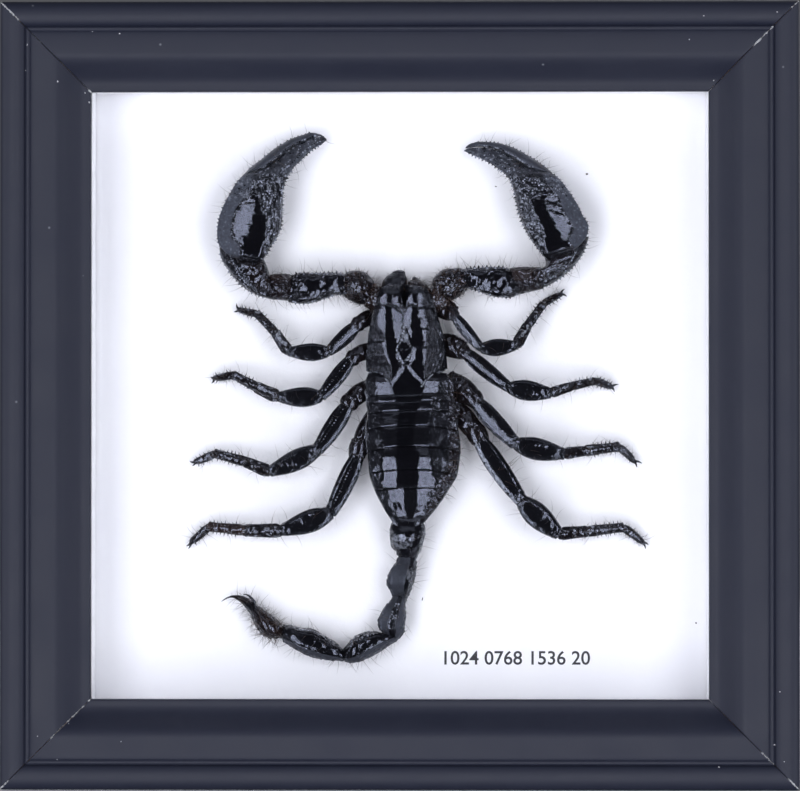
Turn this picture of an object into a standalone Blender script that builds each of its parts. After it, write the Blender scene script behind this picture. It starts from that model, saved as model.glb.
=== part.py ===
"""Framed scorpion specimen: a dried forest scorpion on a white board in a black shadow-box frame.

The frame stands upright on its bottom rail and faces -Y. The origin is the middle of its footprint.
Sizes are in millimetres and become metres where the meshes are made.
"""
import math

import bmesh
import bpy
from mathutils import Vector

MM = 0.001
TOUCH_GAP = 0.3

# Frame, driving dimensions
FRAME_WIDTH = 152.0
FRAME_HEIGHT = 150.0
FRAME_DEPTH = 30.0
RAIL_FACE = 17.0
RABBET_WIDTH = 5.0
RABBET_SHELF = 7.0

# Moulding, measured from the outer edge and back from the front plane
BEAD_CREST = 2.75
BEAD_DROP = 2.4
BEAD_INNER_REACH = 2.0
BEAD_INNER_DROP = 1.9
BEAD_POINTS = 5
FILLET_START = 5.05
FILLET_END = 5.45
FILLET_DEPTH = 1.35
CUSHION_START = 5.75
CUSHION_EDGE_DEPTH = 1.75
CUSHION_CREST = 9.9
CUSHION_CREST_DEPTH = 0.9
COVE_END = 16.1
COVE_DEPTH = 5.0
CUSHION_POINTS = 5
COVE_POINTS = 7
LIP_CREST = 16.6
LIP_EDGE_DEPTH = 5.6

# Inside of the case, from the front to the back
GLASS_THICKNESS = 2.0
BOARD_FACE_DEPTH = 22.3
BOARD_THICKNESS = 3.0
BACK_THICKNESS = 2.5
SIDE_LINER_THICKNESS = RABBET_WIDTH - TOUCH_GAP
END_LINER_THICKNESS = 4.2

# Fixings on the back
TAB_LENGTH = 14.0
TAB_WIDTH = 6.0
TAB_THICKNESS = 0.5
HANGER_LENGTH = 44.0
HANGER_HEIGHT = 8.0
HANGER_THICKNESS = 0.8
HANGER_TEETH = 9
HANGER_TOOTH_DEPTH = 1.6
HANGER_TOOTH_PITCH = 2.4
HANGER_HOLE_RADIUS = 1.1
HANGER_HOLE_INSET = 4.0
NAIL_SHANK_RADIUS = 0.8
NAIL_HEAD_RADIUS = 1.9
NAIL_HEAD_THICKNESS = 0.8
NAIL_CROWN_SHARE = 0.7
ROUND_SIDES = 16
TAB_END_SIDES = 6
SMOOTH_ANGLE = 60.0

HANGER_PROUD = 2 * TOUCH_GAP + HANGER_THICKNESS + NAIL_HEAD_THICKNESS
FRONT_Y = -(FRAME_DEPTH + HANGER_PROUD) / 2
BACK_Y = FRONT_Y + FRAME_DEPTH
BOARD_FACE_Y = FRONT_Y + BOARD_FACE_DEPTH
RABBET_BACK_WIDTH = RAIL_FACE - RABBET_WIDTH
CASE_WIDTH = FRAME_WIDTH - 2 * RABBET_BACK_WIDTH
CASE_HEIGHT = FRAME_HEIGHT - 2 * RABBET_BACK_WIDTH
LOOSE_WIDTH = CASE_WIDTH - 2 * TOUCH_GAP
LOOSE_HEIGHT = CASE_HEIGHT - 2 * TOUCH_GAP

# Specimen, across and up from the middle of the board. Each cut through the body gives its left
# and right edge, then how far its underside and its top stand off the board.
BODY_SIDES = 10
BODY_CUTS = {
    "carapace": [
        ((-3.7, 20.3), (5.6, 20.3), 2.6, 7.4),
        ((-4.3, 18.4), (6.2, 18.4), 2.2, 8.2),
        ((-5.2, 15.3), (7.2, 15.3), 1.8, 9.0),
        ((-6.4, 7.2), (8.8, 7.2), 1.5, 10.0),
        ((-6.4, 4.1), (8.8, 4.1), 1.5, 10.2),
        ((-6.0, 2.1), (8.1, 2.1), 1.6, 9.8),
    ],
    "abdomen": [
        ((-6.8, 1.6), (10.1, 1.6), 1.6, 9.8),
        ((-6.4, -1.4), (10.5, -1.4), 1.3, 10.2),
        ((-6.2, -10.1), (11.5, -10.1), 1.0, 10.8),
        ((-5.8, -14.2), (10.9, -14.2), 1.0, 10.4),
        ((-4.9, -17.8), (9.3, -17.8), 1.2, 9.8),
        ((-3.5, -21.3), (7.2, -21.3), 1.6, 8.9),
        ((-1.7, -24.2), (5.0, -24.2), 2.2, 8.0),
    ],
    "jaw_left": [
        ((-3.7, 20.8), (0.1, 20.8), 3.0, 7.4),
        ((-2.7, 22.5), (1.1, 22.3), 3.2, 7.0),
        ((-1.2, 23.8), (0.5, 23.6), 3.8, 5.8),
    ],
    "jaw_right": [
        ((1.3, 20.8), (4.9, 20.8), 3.0, 6.8),
        ((1.9, 22.1), (4.5, 21.9), 3.4, 5.8),
    ],
    "tail_1": [
        ((-1.7, -24.7), (4.7, -24.7), 2.4, 7.8),
        ((-1.8, -27.2), (4.7, -27.2), 2.2, 8.2),
        ((-1.6, -29.3), (4.2, -29.3), 2.2, 8.2),
        ((-0.4, -31.0), (3.3, -31.0), 2.8, 6.8),
    ],
    "tail_2": [
        ((-0.8, -31.6), (3.1, -31.6), 2.8, 6.4),
        ((-2.3, -34.7), (3.0, -34.7), 1.8, 7.4),
        ((-2.5, -36.7), (2.3, -36.9), 1.8, 7.4),
        ((-1.5, -38.4), (1.6, -38.7), 2.4, 6.0),
    ],
    "tail_3": [
        ((-1.6, -39.5), (1.0, -39.8), 2.4, 5.8),
        ((-3.5, -41.9), (1.1, -41.9), 1.4, 6.8),
        ((-4.3, -44.0), (1.0, -44.0), 1.4, 7.0),
        ((-3.6, -45.5), (0.8, -45.8), 1.6, 6.4),
    ],
    "tail_4": [
        ((-3.7, -46.3), (0.0, -47.1), 1.6, 6.2),
        ((-5.8, -45.9), (-1.7, -47.9), 1.2, 6.6),
        ((-8.3, -46.6), (-5.4, -50.3), 1.0, 6.6),
        ((-10.1, -48.1), (-8.9, -51.8), 1.2, 6.2),
        ((-10.9, -49.1), (-10.5, -51.4), 1.6, 5.4),
    ],
    "tail_5": [
        ((-11.4, -49.1), (-11.8, -51.4), 1.6, 5.2),
        ((-13.6, -47.2), (-14.4, -51.2), 1.0, 6.0),
        ((-17.1, -45.4), (-17.7, -50.4), 0.9, 6.0),
        ((-20.0, -45.1), (-20.8, -48.7), 1.0, 5.6),
        ((-22.5, -44.4), (-22.9, -47.2), 1.3, 5.0),
    ],
    "stinger": [
        ((-23.6, -44.3), (-23.8, -46.9), 1.4, 4.8),
        ((-25.8, -42.2), (-26.6, -46.3), 0.9, 5.2),
        ((-27.7, -40.9), (-28.6, -44.0), 1.0, 4.4),
        ((-29.2, -40.1), (-29.9, -41.1), 1.3, 3.0),
        ((-31.0, -39.2), (-31.6, -40.0), 1.4, 2.4),
        ((-32.8, -38.9), (-33.0, -39.5), 1.3, 2.0),
        ((-34.5, -39.8), (-34.6, -40.1), 1.0, 1.4),
    ],
    "pincer_left_arm": [
        ((-21.5, 17.8), (-21.1, 23.5), 3.0, 7.6),
        ((-18.2, 17.6), (-18.2, 23.5), 2.4, 8.2),
        ((-11.3, 19.4), (-11.3, 23.6), 3.0, 7.4),
        ((-8.3, 17.7), (-9.1, 23.9), 2.8, 7.4),
        ((-5.2, 18.0), (-6.0, 22.5), 3.0, 6.8),
    ],
    "pincer_left_forearm": [
        ((-34.0, 24.8), (-26.2, 25.2), 2.6, 8.0),
        ((-32.6, 23.1), (-25.3, 23.7), 2.4, 8.4),
        ((-30.3, 21.0), (-24.8, 22.3), 2.4, 8.4),
        ((-27.4, 19.0), (-24.1, 21.9), 2.6, 8.0),
        ((-24.6, 18.3), (-22.9, 23.1), 3.0, 7.6),
    ],
    "pincer_left_hand": [
        ((-34.1, 26.1), (-26.8, 26.6), 2.8, 8.2),
        ((-35.3, 30.1), (-23.7, 30.5), 1.8, 10.0),
        ((-34.9, 33.6), (-23.0, 33.6), 1.5, 10.6),
        ((-33.6, 37.2), (-22.7, 37.2), 1.6, 10.4),
        ((-31.0, 41.5), (-22.2, 40.5), 2.0, 9.6),
        ((-27.7, 42.4), (-21.9, 41.7), 2.4, 8.6),
        ((-25.0, 43.5), (-21.1, 43.2), 2.7, 7.6),
        ((-19.8, 47.7), (-17.5, 47.2), 2.8, 6.0),
        ((-17.5, 48.8), (-15.5, 48.3), 2.8, 5.2),
        ((-15.1, 49.8), (-14.4, 49.4), 3.2, 4.4),
    ],
    "pincer_left_finger": [
        ((-30.3, 42.7), (-27.9, 43.3), 3.0, 7.4),
        ((-27.7, 44.9), (-25.6, 43.9), 2.8, 7.2),
        ((-24.1, 47.7), (-22.8, 46.2), 2.8, 6.6),
        ((-18.4, 50.3), (-17.9, 49.3), 2.8, 5.2),
        ((-16.1, 50.6), (-15.6, 50.1), 3.2, 4.4),
    ],
    "pincer_right_arm": [
        ((23.5, 19.6), (21.1, 24.3), 3.0, 7.6),
        ((19.6, 18.7), (18.6, 24.6), 2.4, 8.2),
        ((12.0, 20.6), (12.0, 24.5), 3.0, 7.4),
        ((9.5, 18.6), (8.7, 24.4), 2.8, 7.4),
        ((6.8, 18.4), (6.8, 22.7), 3.0, 6.8),
    ],
    "pincer_right_forearm": [
        ((35.9, 28.1), (27.9, 25.6), 2.6, 8.0),
        ((34.3, 25.6), (27.5, 24.4), 2.4, 8.4),
        ((31.6, 23.1), (26.6, 24.4), 2.4, 8.4),
        ((28.3, 21.0), (25.2, 24.4), 2.6, 8.0),
        ((25.4, 20.0), (23.3, 24.2), 3.0, 7.6),
    ],
    "pincer_right_hand": [
        ((35.5, 29.1), (27.5, 27.0), 2.8, 8.2),
        ((36.3, 31.8), (25.0, 30.5), 1.8, 10.0),
        ((34.7, 35.5), (22.9, 34.9), 1.5, 10.6),
        ((32.4, 39.4), (22.2, 39.0), 1.6, 10.2),
        ((29.7, 41.7), (21.0, 41.5), 2.2, 9.4),
        ((26.2, 42.5), (19.4, 43.5), 2.6, 8.2),
        ((23.1, 44.1), (17.3, 44.8), 2.8, 7.2),
        ((17.7, 46.9), (13.4, 46.7), 2.8, 5.4),
        ((13.6, 47.2), (12.4, 47.2), 3.2, 4.4),
    ],
    "pincer_right_finger": [
        ((29.5, 42.9), (27.5, 43.7), 3.0, 7.4),
        ((27.0, 44.8), (25.0, 44.0), 2.8, 7.2),
        ((23.5, 46.9), (22.5, 45.8), 2.8, 6.6),
        ((15.7, 49.0), (15.7, 48.1), 2.8, 5.2),
        ((13.4, 48.3), (13.3, 47.8), 3.2, 4.4),
    ],
}

# Legs, front pair first. The joints run from the hip over the trochanter, the two ends of the
# knee piece, the shin's end and the heel to the toe. Girth is half the width of the thigh.
LEG_SIDES = 8
LEGS = {
    "left_1": {
        "girth": 1.3,
        "knee_height": 6.0,
        "joints": [
            (-6.6, 14.8), (-8.1, 13.8), (-13.8, 8.3), (-21.5, 8.3),
            (-24.1, 11.9), (-27.7, 15.7), (-31.2, 16.6),
        ],
    },
    "left_2": {
        "girth": 1.4,
        "knee_height": 6.0,
        "joints": [
            (-7.2, 8.1), (-9.3, 7.2), (-15.2, -0.3), (-23.5, -0.4),
            (-27.7, 1.5), (-32.3, 3.9), (-36.1, 3.3),
        ],
    },
    "left_3": {
        "girth": 1.65,
        "knee_height": 6.0,
        "joints": [
            (-8.0, 1.0), (-9.9, -1.6), (-15.9, -10.7), (-25.1, -14.8),
            (-29.9, -13.0), (-35.9, -11.3), (-39.8, -12.9),
        ],
    },
    "left_4": {
        "girth": 1.65,
        "knee_height": 6.0,
        "joints": [
            (-8.0, -4.7), (-8.0, -10.8), (-13.4, -22.9), (-22.7, -26.2),
            (-29.9, -26.2), (-37.1, -25.5), (-40.5, -28.5),
        ],
    },
    "right_1": {
        "girth": 1.25,
        "knee_height": 7.6,
        "joints": [
            (8.9, 16.7), (10.3, 15.5), (15.7, 8.9), (22.5, 9.5),
            (24.6, 13.3), (27.6, 17.6), (31.0, 19.5),
        ],
    },
    "right_2": {
        "girth": 1.5,
        "knee_height": 6.0,
        "joints": [
            (9.7, 9.3), (12.2, 8.5), (21.0, 1.4), (29.1, 0.3),
            (33.0, 1.6), (37.5, 2.7), (40.8, 1.5),
        ],
    },
    "right_3": {
        "girth": 1.75,
        "knee_height": 6.0,
        "joints": [
            (11.9, 2.3), (14.4, -0.8), (22.3, -9.5), (31.6, -11.4),
            (35.7, -10.9), (42.3, -10.0), (45.2, -12.8),
        ],
    },
    "right_4": {
        "girth": 1.9,
        "knee_height": 6.0,
        "joints": [
            (12.9, -3.6), (14.9, -8.0), (23.5, -20.5), (30.7, -26.9),
            (36.1, -26.4), (43.1, -25.6), (46.9, -28.5),
        ],
    },
}
HIP_HEIGHT = 3.6
TROCHANTER_RISE = 0.33
ANKLE_DROP = 0.1
SHIN_END_HEIGHT = 4.3
HEEL_HEIGHT = 2.8
TOE_HEIGHT = 1.6
LEG_FLATNESS = 0.62
JOINT_SETBACK = 0.55
JOINT_NECK = 0.5
HIP_SHARE = 0.95
KNEE_SHARE = 1.15
KNEE_TAPER = 0.95
SHIN_SHARE = 0.72
HEEL_SHARE = 0.5
TOE_SHARE = 0.3


def clear_scene():
    for item in list(bpy.data.objects):
        bpy.data.objects.remove(item, do_unlink=True)


def make_material(name, colour, roughness, metallic=0.0):
    material = bpy.data.materials.new(name)
    material.use_nodes = True
    shader = material.node_tree.nodes["Principled BSDF"]
    shader.inputs["Base Color"].default_value = (*colour, 1.0)
    shader.inputs["Roughness"].default_value = roughness
    shader.inputs["Metallic"].default_value = metallic
    return material


def make_clear_material(name, roughness, ior):
    material = make_material(name, (1.0, 1.0, 1.0), roughness)
    shader = material.node_tree.nodes["Principled BSDF"]
    shader.inputs["Transmission Weight"].default_value = 1.0
    shader.inputs["IOR"].default_value = ior
    return material


def make_empty(name, location):
    empty = bpy.data.objects.new(name, None)
    empty.location = Vector(location) * MM
    bpy.context.collection.objects.link(empty)
    return empty


def add_object(name, points, faces, material, location=(0, 0, 0), parent=None, smooth=False):
    """One closed mesh from points in millimetres and its faces."""
    mesh = bpy.data.meshes.new(name)
    shape = bmesh.new()
    corners = [shape.verts.new(Vector(point) * MM) for point in points]
    for face in faces:
        shape.faces.new([corners[index] for index in face])
    bmesh.ops.recalc_face_normals(shape, faces=shape.faces)
    shape.to_mesh(mesh)
    shape.free()
    mesh.materials.append(material)
    if smooth:
        mesh.shade_smooth()
        mesh.set_sharp_from_angle(angle=math.radians(SMOOTH_ANGLE))
    piece = bpy.data.objects.new(name, mesh)
    piece.location = Vector(location) * MM
    piece.parent = parent
    bpy.context.collection.objects.link(piece)
    return piece


def ring_faces(rings, sides):
    """Side faces between rings of points, with a cap on the first and the last ring."""
    faces = [tuple(range(sides))]
    for ring in range(rings - 1):
        start = ring * sides
        for side in range(sides):
            following = (side + 1) % sides
            faces.append((start + side, start + following, start + sides + following, start + sides + side))
    faces.append(tuple((rings - 1) * sides + side for side in range(sides)))
    return faces


def box_piece(name, size, centre, material):
    """A plain block: size and centre in X, Y, Z."""
    half = Vector(size) / 2
    signs = [(-1, -1), (1, -1), (1, 1), (-1, 1)]
    points = [(x * half.x, y * half.y, z * half.z) for z in (-1, 1) for x, y in signs]
    return add_object(name, points, ring_faces(2, 4), material, centre)


def plate_piece(name, outline, thickness, centre, material):
    """An outline in X and Z, made thick in Y."""
    points = [(x, y, z) for y in (-thickness / 2, thickness / 2) for x, z in outline]
    return add_object(name, points, ring_faces(2, len(outline)), material, centre)


def arc(centre, reach_across, reach_deep, start, end, count):
    """Points on an ellipse between two angles in degrees, depth counted backwards."""
    points = []
    for step in range(count):
        angle = math.radians(start + (end - start) * step / (count - 1))
        across = centre[0] + reach_across * math.cos(angle)
        deep = centre[1] - reach_deep * math.sin(angle)
        points.append((across, deep))
    return points


def eased_run(start, end, count):
    """A cosine-eased slope from one point to another, without its first point."""
    points = []
    for step in range(1, count + 1):
        share = step / count
        eased = (1 - math.cos(math.pi * share)) / 2
        across = start[0] + (end[0] - start[0]) * share
        deep = start[1] + (end[1] - start[1]) * eased
        points.append((across, deep))
    return points


def moulding_profile():
    """The rail's section: distance in from the outer edge, then depth behind the front plane."""
    bead_outer = arc((BEAD_CREST, BEAD_DROP), BEAD_CREST, BEAD_DROP, 180, 90, BEAD_POINTS)
    bead_inner = arc((BEAD_CREST, BEAD_INNER_DROP), BEAD_INNER_REACH, BEAD_INNER_DROP, 90, 0, BEAD_POINTS)
    fillet = [(FILLET_START, FILLET_DEPTH), (FILLET_END, FILLET_DEPTH)]
    cushion_edge = (CUSHION_START, CUSHION_EDGE_DEPTH)
    crest = (CUSHION_CREST, CUSHION_CREST_DEPTH)
    cove_end = (COVE_END, COVE_DEPTH)
    reach = CUSHION_CREST - CUSHION_START
    rise = CUSHION_EDGE_DEPTH - CUSHION_CREST_DEPTH
    cushion = arc((crest[0], cushion_edge[1]), reach, rise, 180, 90, CUSHION_POINTS)
    cove = eased_run(crest, cove_end, COVE_POINTS)
    lip = [(LIP_CREST, COVE_DEPTH), (RAIL_FACE, LIP_EDGE_DEPTH), (RAIL_FACE, RABBET_SHELF)]
    rabbet = [(RABBET_BACK_WIDTH, RABBET_SHELF), (RABBET_BACK_WIDTH, FRAME_DEPTH), (0.0, FRAME_DEPTH)]
    return bead_outer + bead_inner[1:] + fillet + cushion + cove + lip + rabbet


def rail_piece(name, length, corner, turn, material):
    """A mitred rail along its own X with its outer face at its own Z = 0."""
    setback = TOUCH_GAP / math.sqrt(2)
    profile = moulding_profile()
    points = []
    for end in (-1, 1):
        for across, deep in profile:
            reach = length / 2 - across - setback
            points.append((end * reach, FRONT_Y + deep, across))
    rail = add_object(name, points, ring_faces(2, len(profile)), material, corner, smooth=True)
    rail.rotation_euler = (0.0, turn, 0.0)
    return rail


def build_rails(material):
    half_width = FRAME_WIDTH / 2
    half_height = FRAME_HEIGHT / 2
    rail_piece("rail_bottom", FRAME_WIDTH, (0, 0, 0), 0.0, material)
    rail_piece("rail_top", FRAME_WIDTH, (0, 0, FRAME_HEIGHT), math.pi, material)
    rail_piece("rail_left", FRAME_HEIGHT, (-half_width, 0, half_height), math.pi / 2, material)
    rail_piece("rail_right", FRAME_HEIGHT, (half_width, 0, half_height), -math.pi / 2, material)


def build_case(glass, white, board, back):
    """The pane, the spacer strips, the board and the back panel, stacked in the rabbet."""
    middle = FRAME_HEIGHT / 2
    glass_front = FRONT_Y + RABBET_SHELF + TOUCH_GAP
    glass_centre = (0, glass_front + GLASS_THICKNESS / 2, middle)
    box_piece("glass_pane", (LOOSE_WIDTH, GLASS_THICKNESS, LOOSE_HEIGHT), glass_centre, glass)

    liner_front = glass_front + GLASS_THICKNESS + TOUCH_GAP
    liner_depth = BOARD_FACE_Y - TOUCH_GAP - liner_front
    liner_y = liner_front + liner_depth / 2
    side_x = LOOSE_WIDTH / 2 - SIDE_LINER_THICKNESS / 2
    end_z = LOOSE_HEIGHT / 2 - END_LINER_THICKNESS / 2
    end_length = LOOSE_WIDTH - 2 * (SIDE_LINER_THICKNESS + TOUCH_GAP)
    side_size = (SIDE_LINER_THICKNESS, liner_depth, LOOSE_HEIGHT)
    end_size = (end_length, liner_depth, END_LINER_THICKNESS)
    box_piece("liner_left", side_size, (-side_x, liner_y, middle), white)
    box_piece("liner_right", side_size, (side_x, liner_y, middle), white)
    box_piece("liner_top", end_size, (0, liner_y, middle + end_z), white)
    box_piece("liner_bottom", end_size, (0, liner_y, middle - end_z), white)

    board_centre = (0, BOARD_FACE_Y + BOARD_THICKNESS / 2, middle)
    box_piece("mount_board", (LOOSE_WIDTH, BOARD_THICKNESS, LOOSE_HEIGHT), board_centre, board)
    back_front = BOARD_FACE_Y + BOARD_THICKNESS + TOUCH_GAP
    back_centre = (0, back_front + BACK_THICKNESS / 2, middle)
    box_piece("back_panel", (LOOSE_WIDTH, BACK_THICKNESS, LOOSE_HEIGHT), back_centre, back)
    return back_front + BACK_THICKNESS


def build_tabs(panel_back, steel):
    """Flat steel tabs that lie on the back panel, one at the middle of each rail."""
    tab_y = panel_back + TOUCH_GAP + TAB_THICKNESS / 2
    round_end = [
        (TAB_WIDTH / 2 * math.cos(angle), TAB_WIDTH / 2 * math.sin(angle))
        for angle in (math.pi * step / TAB_END_SIDES for step in range(TAB_END_SIDES + 1))
    ]
    straight = TAB_LENGTH - TAB_WIDTH / 2
    outline = [(-TAB_WIDTH / 2, -straight), (TAB_WIDTH / 2, -straight), *round_end]
    reach_x = CASE_WIDTH / 2 - TOUCH_GAP - straight
    reach_z = CASE_HEIGHT / 2 - TOUCH_GAP - straight
    middle = FRAME_HEIGHT / 2
    places = {
        "tab_bottom": ((0, tab_y, middle - reach_z), 0.0),
        "tab_top": ((0, tab_y, middle + reach_z), math.pi),
        "tab_left": ((-reach_x, tab_y, middle), math.pi / 2),
        "tab_right": ((reach_x, tab_y, middle), -math.pi / 2),
    }
    for name, (centre, turn) in places.items():
        tab = plate_piece(name, outline, TAB_THICKNESS, centre, steel)
        tab.rotation_euler = (0.0, turn, 0.0)


def hanger_outline():
    """A strip with a row of teeth along the middle of its lower edge."""
    half_length = HANGER_LENGTH / 2
    half_height = HANGER_HEIGHT / 2
    start = -HANGER_TEETH * HANGER_TOOTH_PITCH / 2
    outline = [(-half_length, half_height), (-half_length, -half_height)]
    for tooth in range(HANGER_TEETH):
        left = start + tooth * HANGER_TOOTH_PITCH
        outline.append((left, -half_height))
        outline.append((left + HANGER_TOOTH_PITCH / 2, -half_height + HANGER_TOOTH_DEPTH))
    outline.append((-start, -half_height))
    outline += [(half_length, -half_height), (half_length, half_height)]
    return outline


def drum_piece(name, sections, centre, material):
    """A turned piece along Y: each section is its radius and its Y."""
    points = []
    for radius, y in sections:
        for side in range(ROUND_SIDES):
            angle = 2 * math.pi * side / ROUND_SIDES
            points.append((radius * math.cos(angle), y, radius * math.sin(angle)))
    return add_object(name, points, ring_faces(len(sections), ROUND_SIDES), material, centre, smooth=True)


def drill(piece, cutter_name, centre, radius, reach):
    """A round hole through a piece along Y."""
    cutter = drum_piece(cutter_name, [(radius, -reach), (radius, reach)], centre, piece.data.materials[0])
    cutter.hide_render = True
    cutter.display_type = "WIRE"
    cut = piece.modifiers.new(cutter_name, "BOOLEAN")
    cut.operation = "DIFFERENCE"
    cut.object = cutter


def build_hanger(steel):
    """A sawtooth hanger on the back of the top rail, held by two flat-headed nails."""
    height = FRAME_HEIGHT - RABBET_BACK_WIDTH / 2
    plate_y = BACK_Y + TOUCH_GAP + HANGER_THICKNESS / 2
    hanger = plate_piece("hanger", hanger_outline(), HANGER_THICKNESS, (0, plate_y, height), steel)
    hole_x = HANGER_LENGTH / 2 - HANGER_HOLE_INSET
    plate_back = plate_y + HANGER_THICKNESS / 2
    shank_front = BACK_Y + TOUCH_GAP - plate_back
    head_front = TOUCH_GAP
    sections = [
        (NAIL_SHANK_RADIUS, shank_front),
        (NAIL_SHANK_RADIUS, head_front),
        (NAIL_HEAD_RADIUS, head_front),
        (NAIL_HEAD_RADIUS, head_front + NAIL_HEAD_THICKNESS / 2),
        (NAIL_HEAD_RADIUS * NAIL_CROWN_SHARE, head_front + NAIL_HEAD_THICKNESS),
    ]
    for side, place in (("left", -hole_x), ("right", hole_x)):
        drill(hanger, f"hanger_hole_{side}", (place, plate_y, height), HANGER_HOLE_RADIUS, HANGER_THICKNESS)
        drum_piece(f"hanger_nail_{side}", sections, (place, plate_back, height), steel)


def lofted_piece(name, cuts, sides, material, specimen):
    """A solid through oval cuts. Its origin is the middle of its first cut."""
    (first_left, first_right, first_low, first_high) = cuts[0]
    origin = Vector((
        (first_left[0] + first_right[0]) / 2,
        -(first_low + first_high) / 2,
        (first_left[1] + first_right[1]) / 2,
    ))
    points = []
    for left, right, low, high in cuts:
        centre = Vector((left[0] + right[0], -(low + high), left[1] + right[1])) / 2
        half_width = Vector((right[0] - left[0], 0.0, right[1] - left[1])) / 2
        half_height = Vector((0.0, -(high - low) / 2, 0.0))
        for side in range(sides):
            angle = 2 * math.pi * (side + 0.5) / sides
            points.append(centre - origin + half_width * math.cos(angle) + half_height * math.sin(angle))
    return add_object(name, points, ring_faces(len(cuts), sides), material, origin, specimen, smooth=True)


def limb_cut(place, direction, half_width, height):
    """A cut square to a limb's direction, at a place across and up, at a height off the board."""
    sideways = Vector((-direction[1], direction[0])).normalized() * half_width
    left = Vector(place) + sideways
    right = Vector(place) - sideways
    half_height = half_width * LEG_FLATNESS
    return (tuple(left), tuple(right), height - half_height, height + half_height)


def limb_cuts(places, widths, heights):
    """Cuts along a bent limb, each square to the mean direction of its two neighbours."""
    cuts = []
    for index, place in enumerate(places):
        before = places[max(index - 1, 0)]
        after = places[min(index + 1, len(places) - 1)]
        direction = Vector(after) - Vector(before)
        cuts.append(limb_cut(place, direction, widths[index], heights[index]))
    return cuts


def shortened(start, end, at_start, at_end):
    """The two ends of a straight run after a setback at each."""
    along = (Vector(end) - Vector(start)).normalized()
    return Vector(start) + along * at_start, Vector(end) - along * at_end


def build_leg(name, leg, material, specimen):
    """A thigh with its hip, a knee piece and a foot of three joints with its toe."""
    girth = leg["girth"]
    knee_height = leg["knee_height"]
    ankle_height = knee_height - ANKLE_DROP
    hip, trochanter, knee, shin, shin_end, heel, toe = (Vector(joint) for joint in leg["joints"])

    _, thigh_end = shortened(trochanter, knee, 0.0, JOINT_SETBACK)
    thigh_middle = (trochanter + knee) / 2
    trochanter_height = HIP_HEIGHT + (knee_height - HIP_HEIGHT) * TROCHANTER_RISE
    thigh = limb_cuts(
        [hip, trochanter, thigh_middle, thigh_end],
        [girth * HIP_SHARE, girth, girth, girth * JOINT_NECK],
        [HIP_HEIGHT, trochanter_height, (trochanter_height + knee_height) / 2, knee_height],
    )
    lofted_piece(f"leg_{name}_thigh", thigh, LEG_SIDES, material, specimen)

    piece_start, piece_end = shortened(knee, shin, JOINT_SETBACK, JOINT_SETBACK)
    quarter = (shin - knee) / 4
    near_width = girth * KNEE_SHARE
    knee_piece = limb_cuts(
        [piece_start, knee + quarter, shin - quarter, piece_end],
        [girth * JOINT_NECK, near_width, near_width * KNEE_TAPER, girth * JOINT_NECK],
        [knee_height, knee_height, (knee_height + ankle_height) / 2, ankle_height],
    )
    lofted_piece(f"leg_{name}_knee", knee_piece, LEG_SIDES, material, specimen)

    shin_start, _ = shortened(shin, shin_end, JOINT_SETBACK, 0.0)
    shin_middle = (shin + shin_end) / 2
    foot = limb_cuts(
        [shin_start, shin_middle, shin_end, heel, toe],
        [girth * JOINT_NECK, girth * SHIN_SHARE, girth * SHIN_SHARE, girth * HEEL_SHARE, girth * TOE_SHARE],
        [ankle_height, (ankle_height + SHIN_END_HEIGHT) / 2, SHIN_END_HEIGHT, HEEL_HEIGHT, TOE_HEIGHT],
    )
    lofted_piece(f"leg_{name}_foot", foot, LEG_SIDES, material, specimen)


def build_specimen(shell, leg_shell):
    specimen = make_empty("specimen", (0, BOARD_FACE_Y, FRAME_HEIGHT / 2))
    for name, cuts in BODY_CUTS.items():
        lofted_piece(name, cuts, BODY_SIDES, shell, specimen)
    for name, leg in LEGS.items():
        build_leg(name, leg, leg_shell, specimen)


def main():
    clear_scene()
    black_moulding = make_material("black_moulding", (0.022, 0.024, 0.030), 0.38)
    pane_glass = make_clear_material("pane_glass", 0.0, 1.52)
    white_liner = make_material("white_liner", (0.86, 0.86, 0.88), 0.7)
    white_board = make_material("white_board", (0.90, 0.90, 0.91), 0.9)
    brown_backing = make_material("brown_backing", (0.24, 0.16, 0.10), 0.8)
    zinc_steel = make_material("zinc_steel", (0.62, 0.62, 0.60), 0.35, 1.0)
    black_shell = make_material("black_shell", (0.010, 0.010, 0.012), 0.2)
    dark_leg_shell = make_material("dark_leg_shell", (0.014, 0.012, 0.012), 0.25)

    build_rails(black_moulding)
    panel_back = build_case(pane_glass, white_liner, white_board, brown_backing)
    build_tabs(panel_back, zinc_steel)
    build_hanger(zinc_steel)
    build_specimen(black_shell, dark_leg_shell)


main()
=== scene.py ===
"""Looks of the framed scorpion specimen: satin black box frame, clear pane, white board, dried scorpion.

Sizes are in millimetres unless a name says otherwise. Places on the board are given as
across and up from its middle and as the height above its face.
"""
import math

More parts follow.
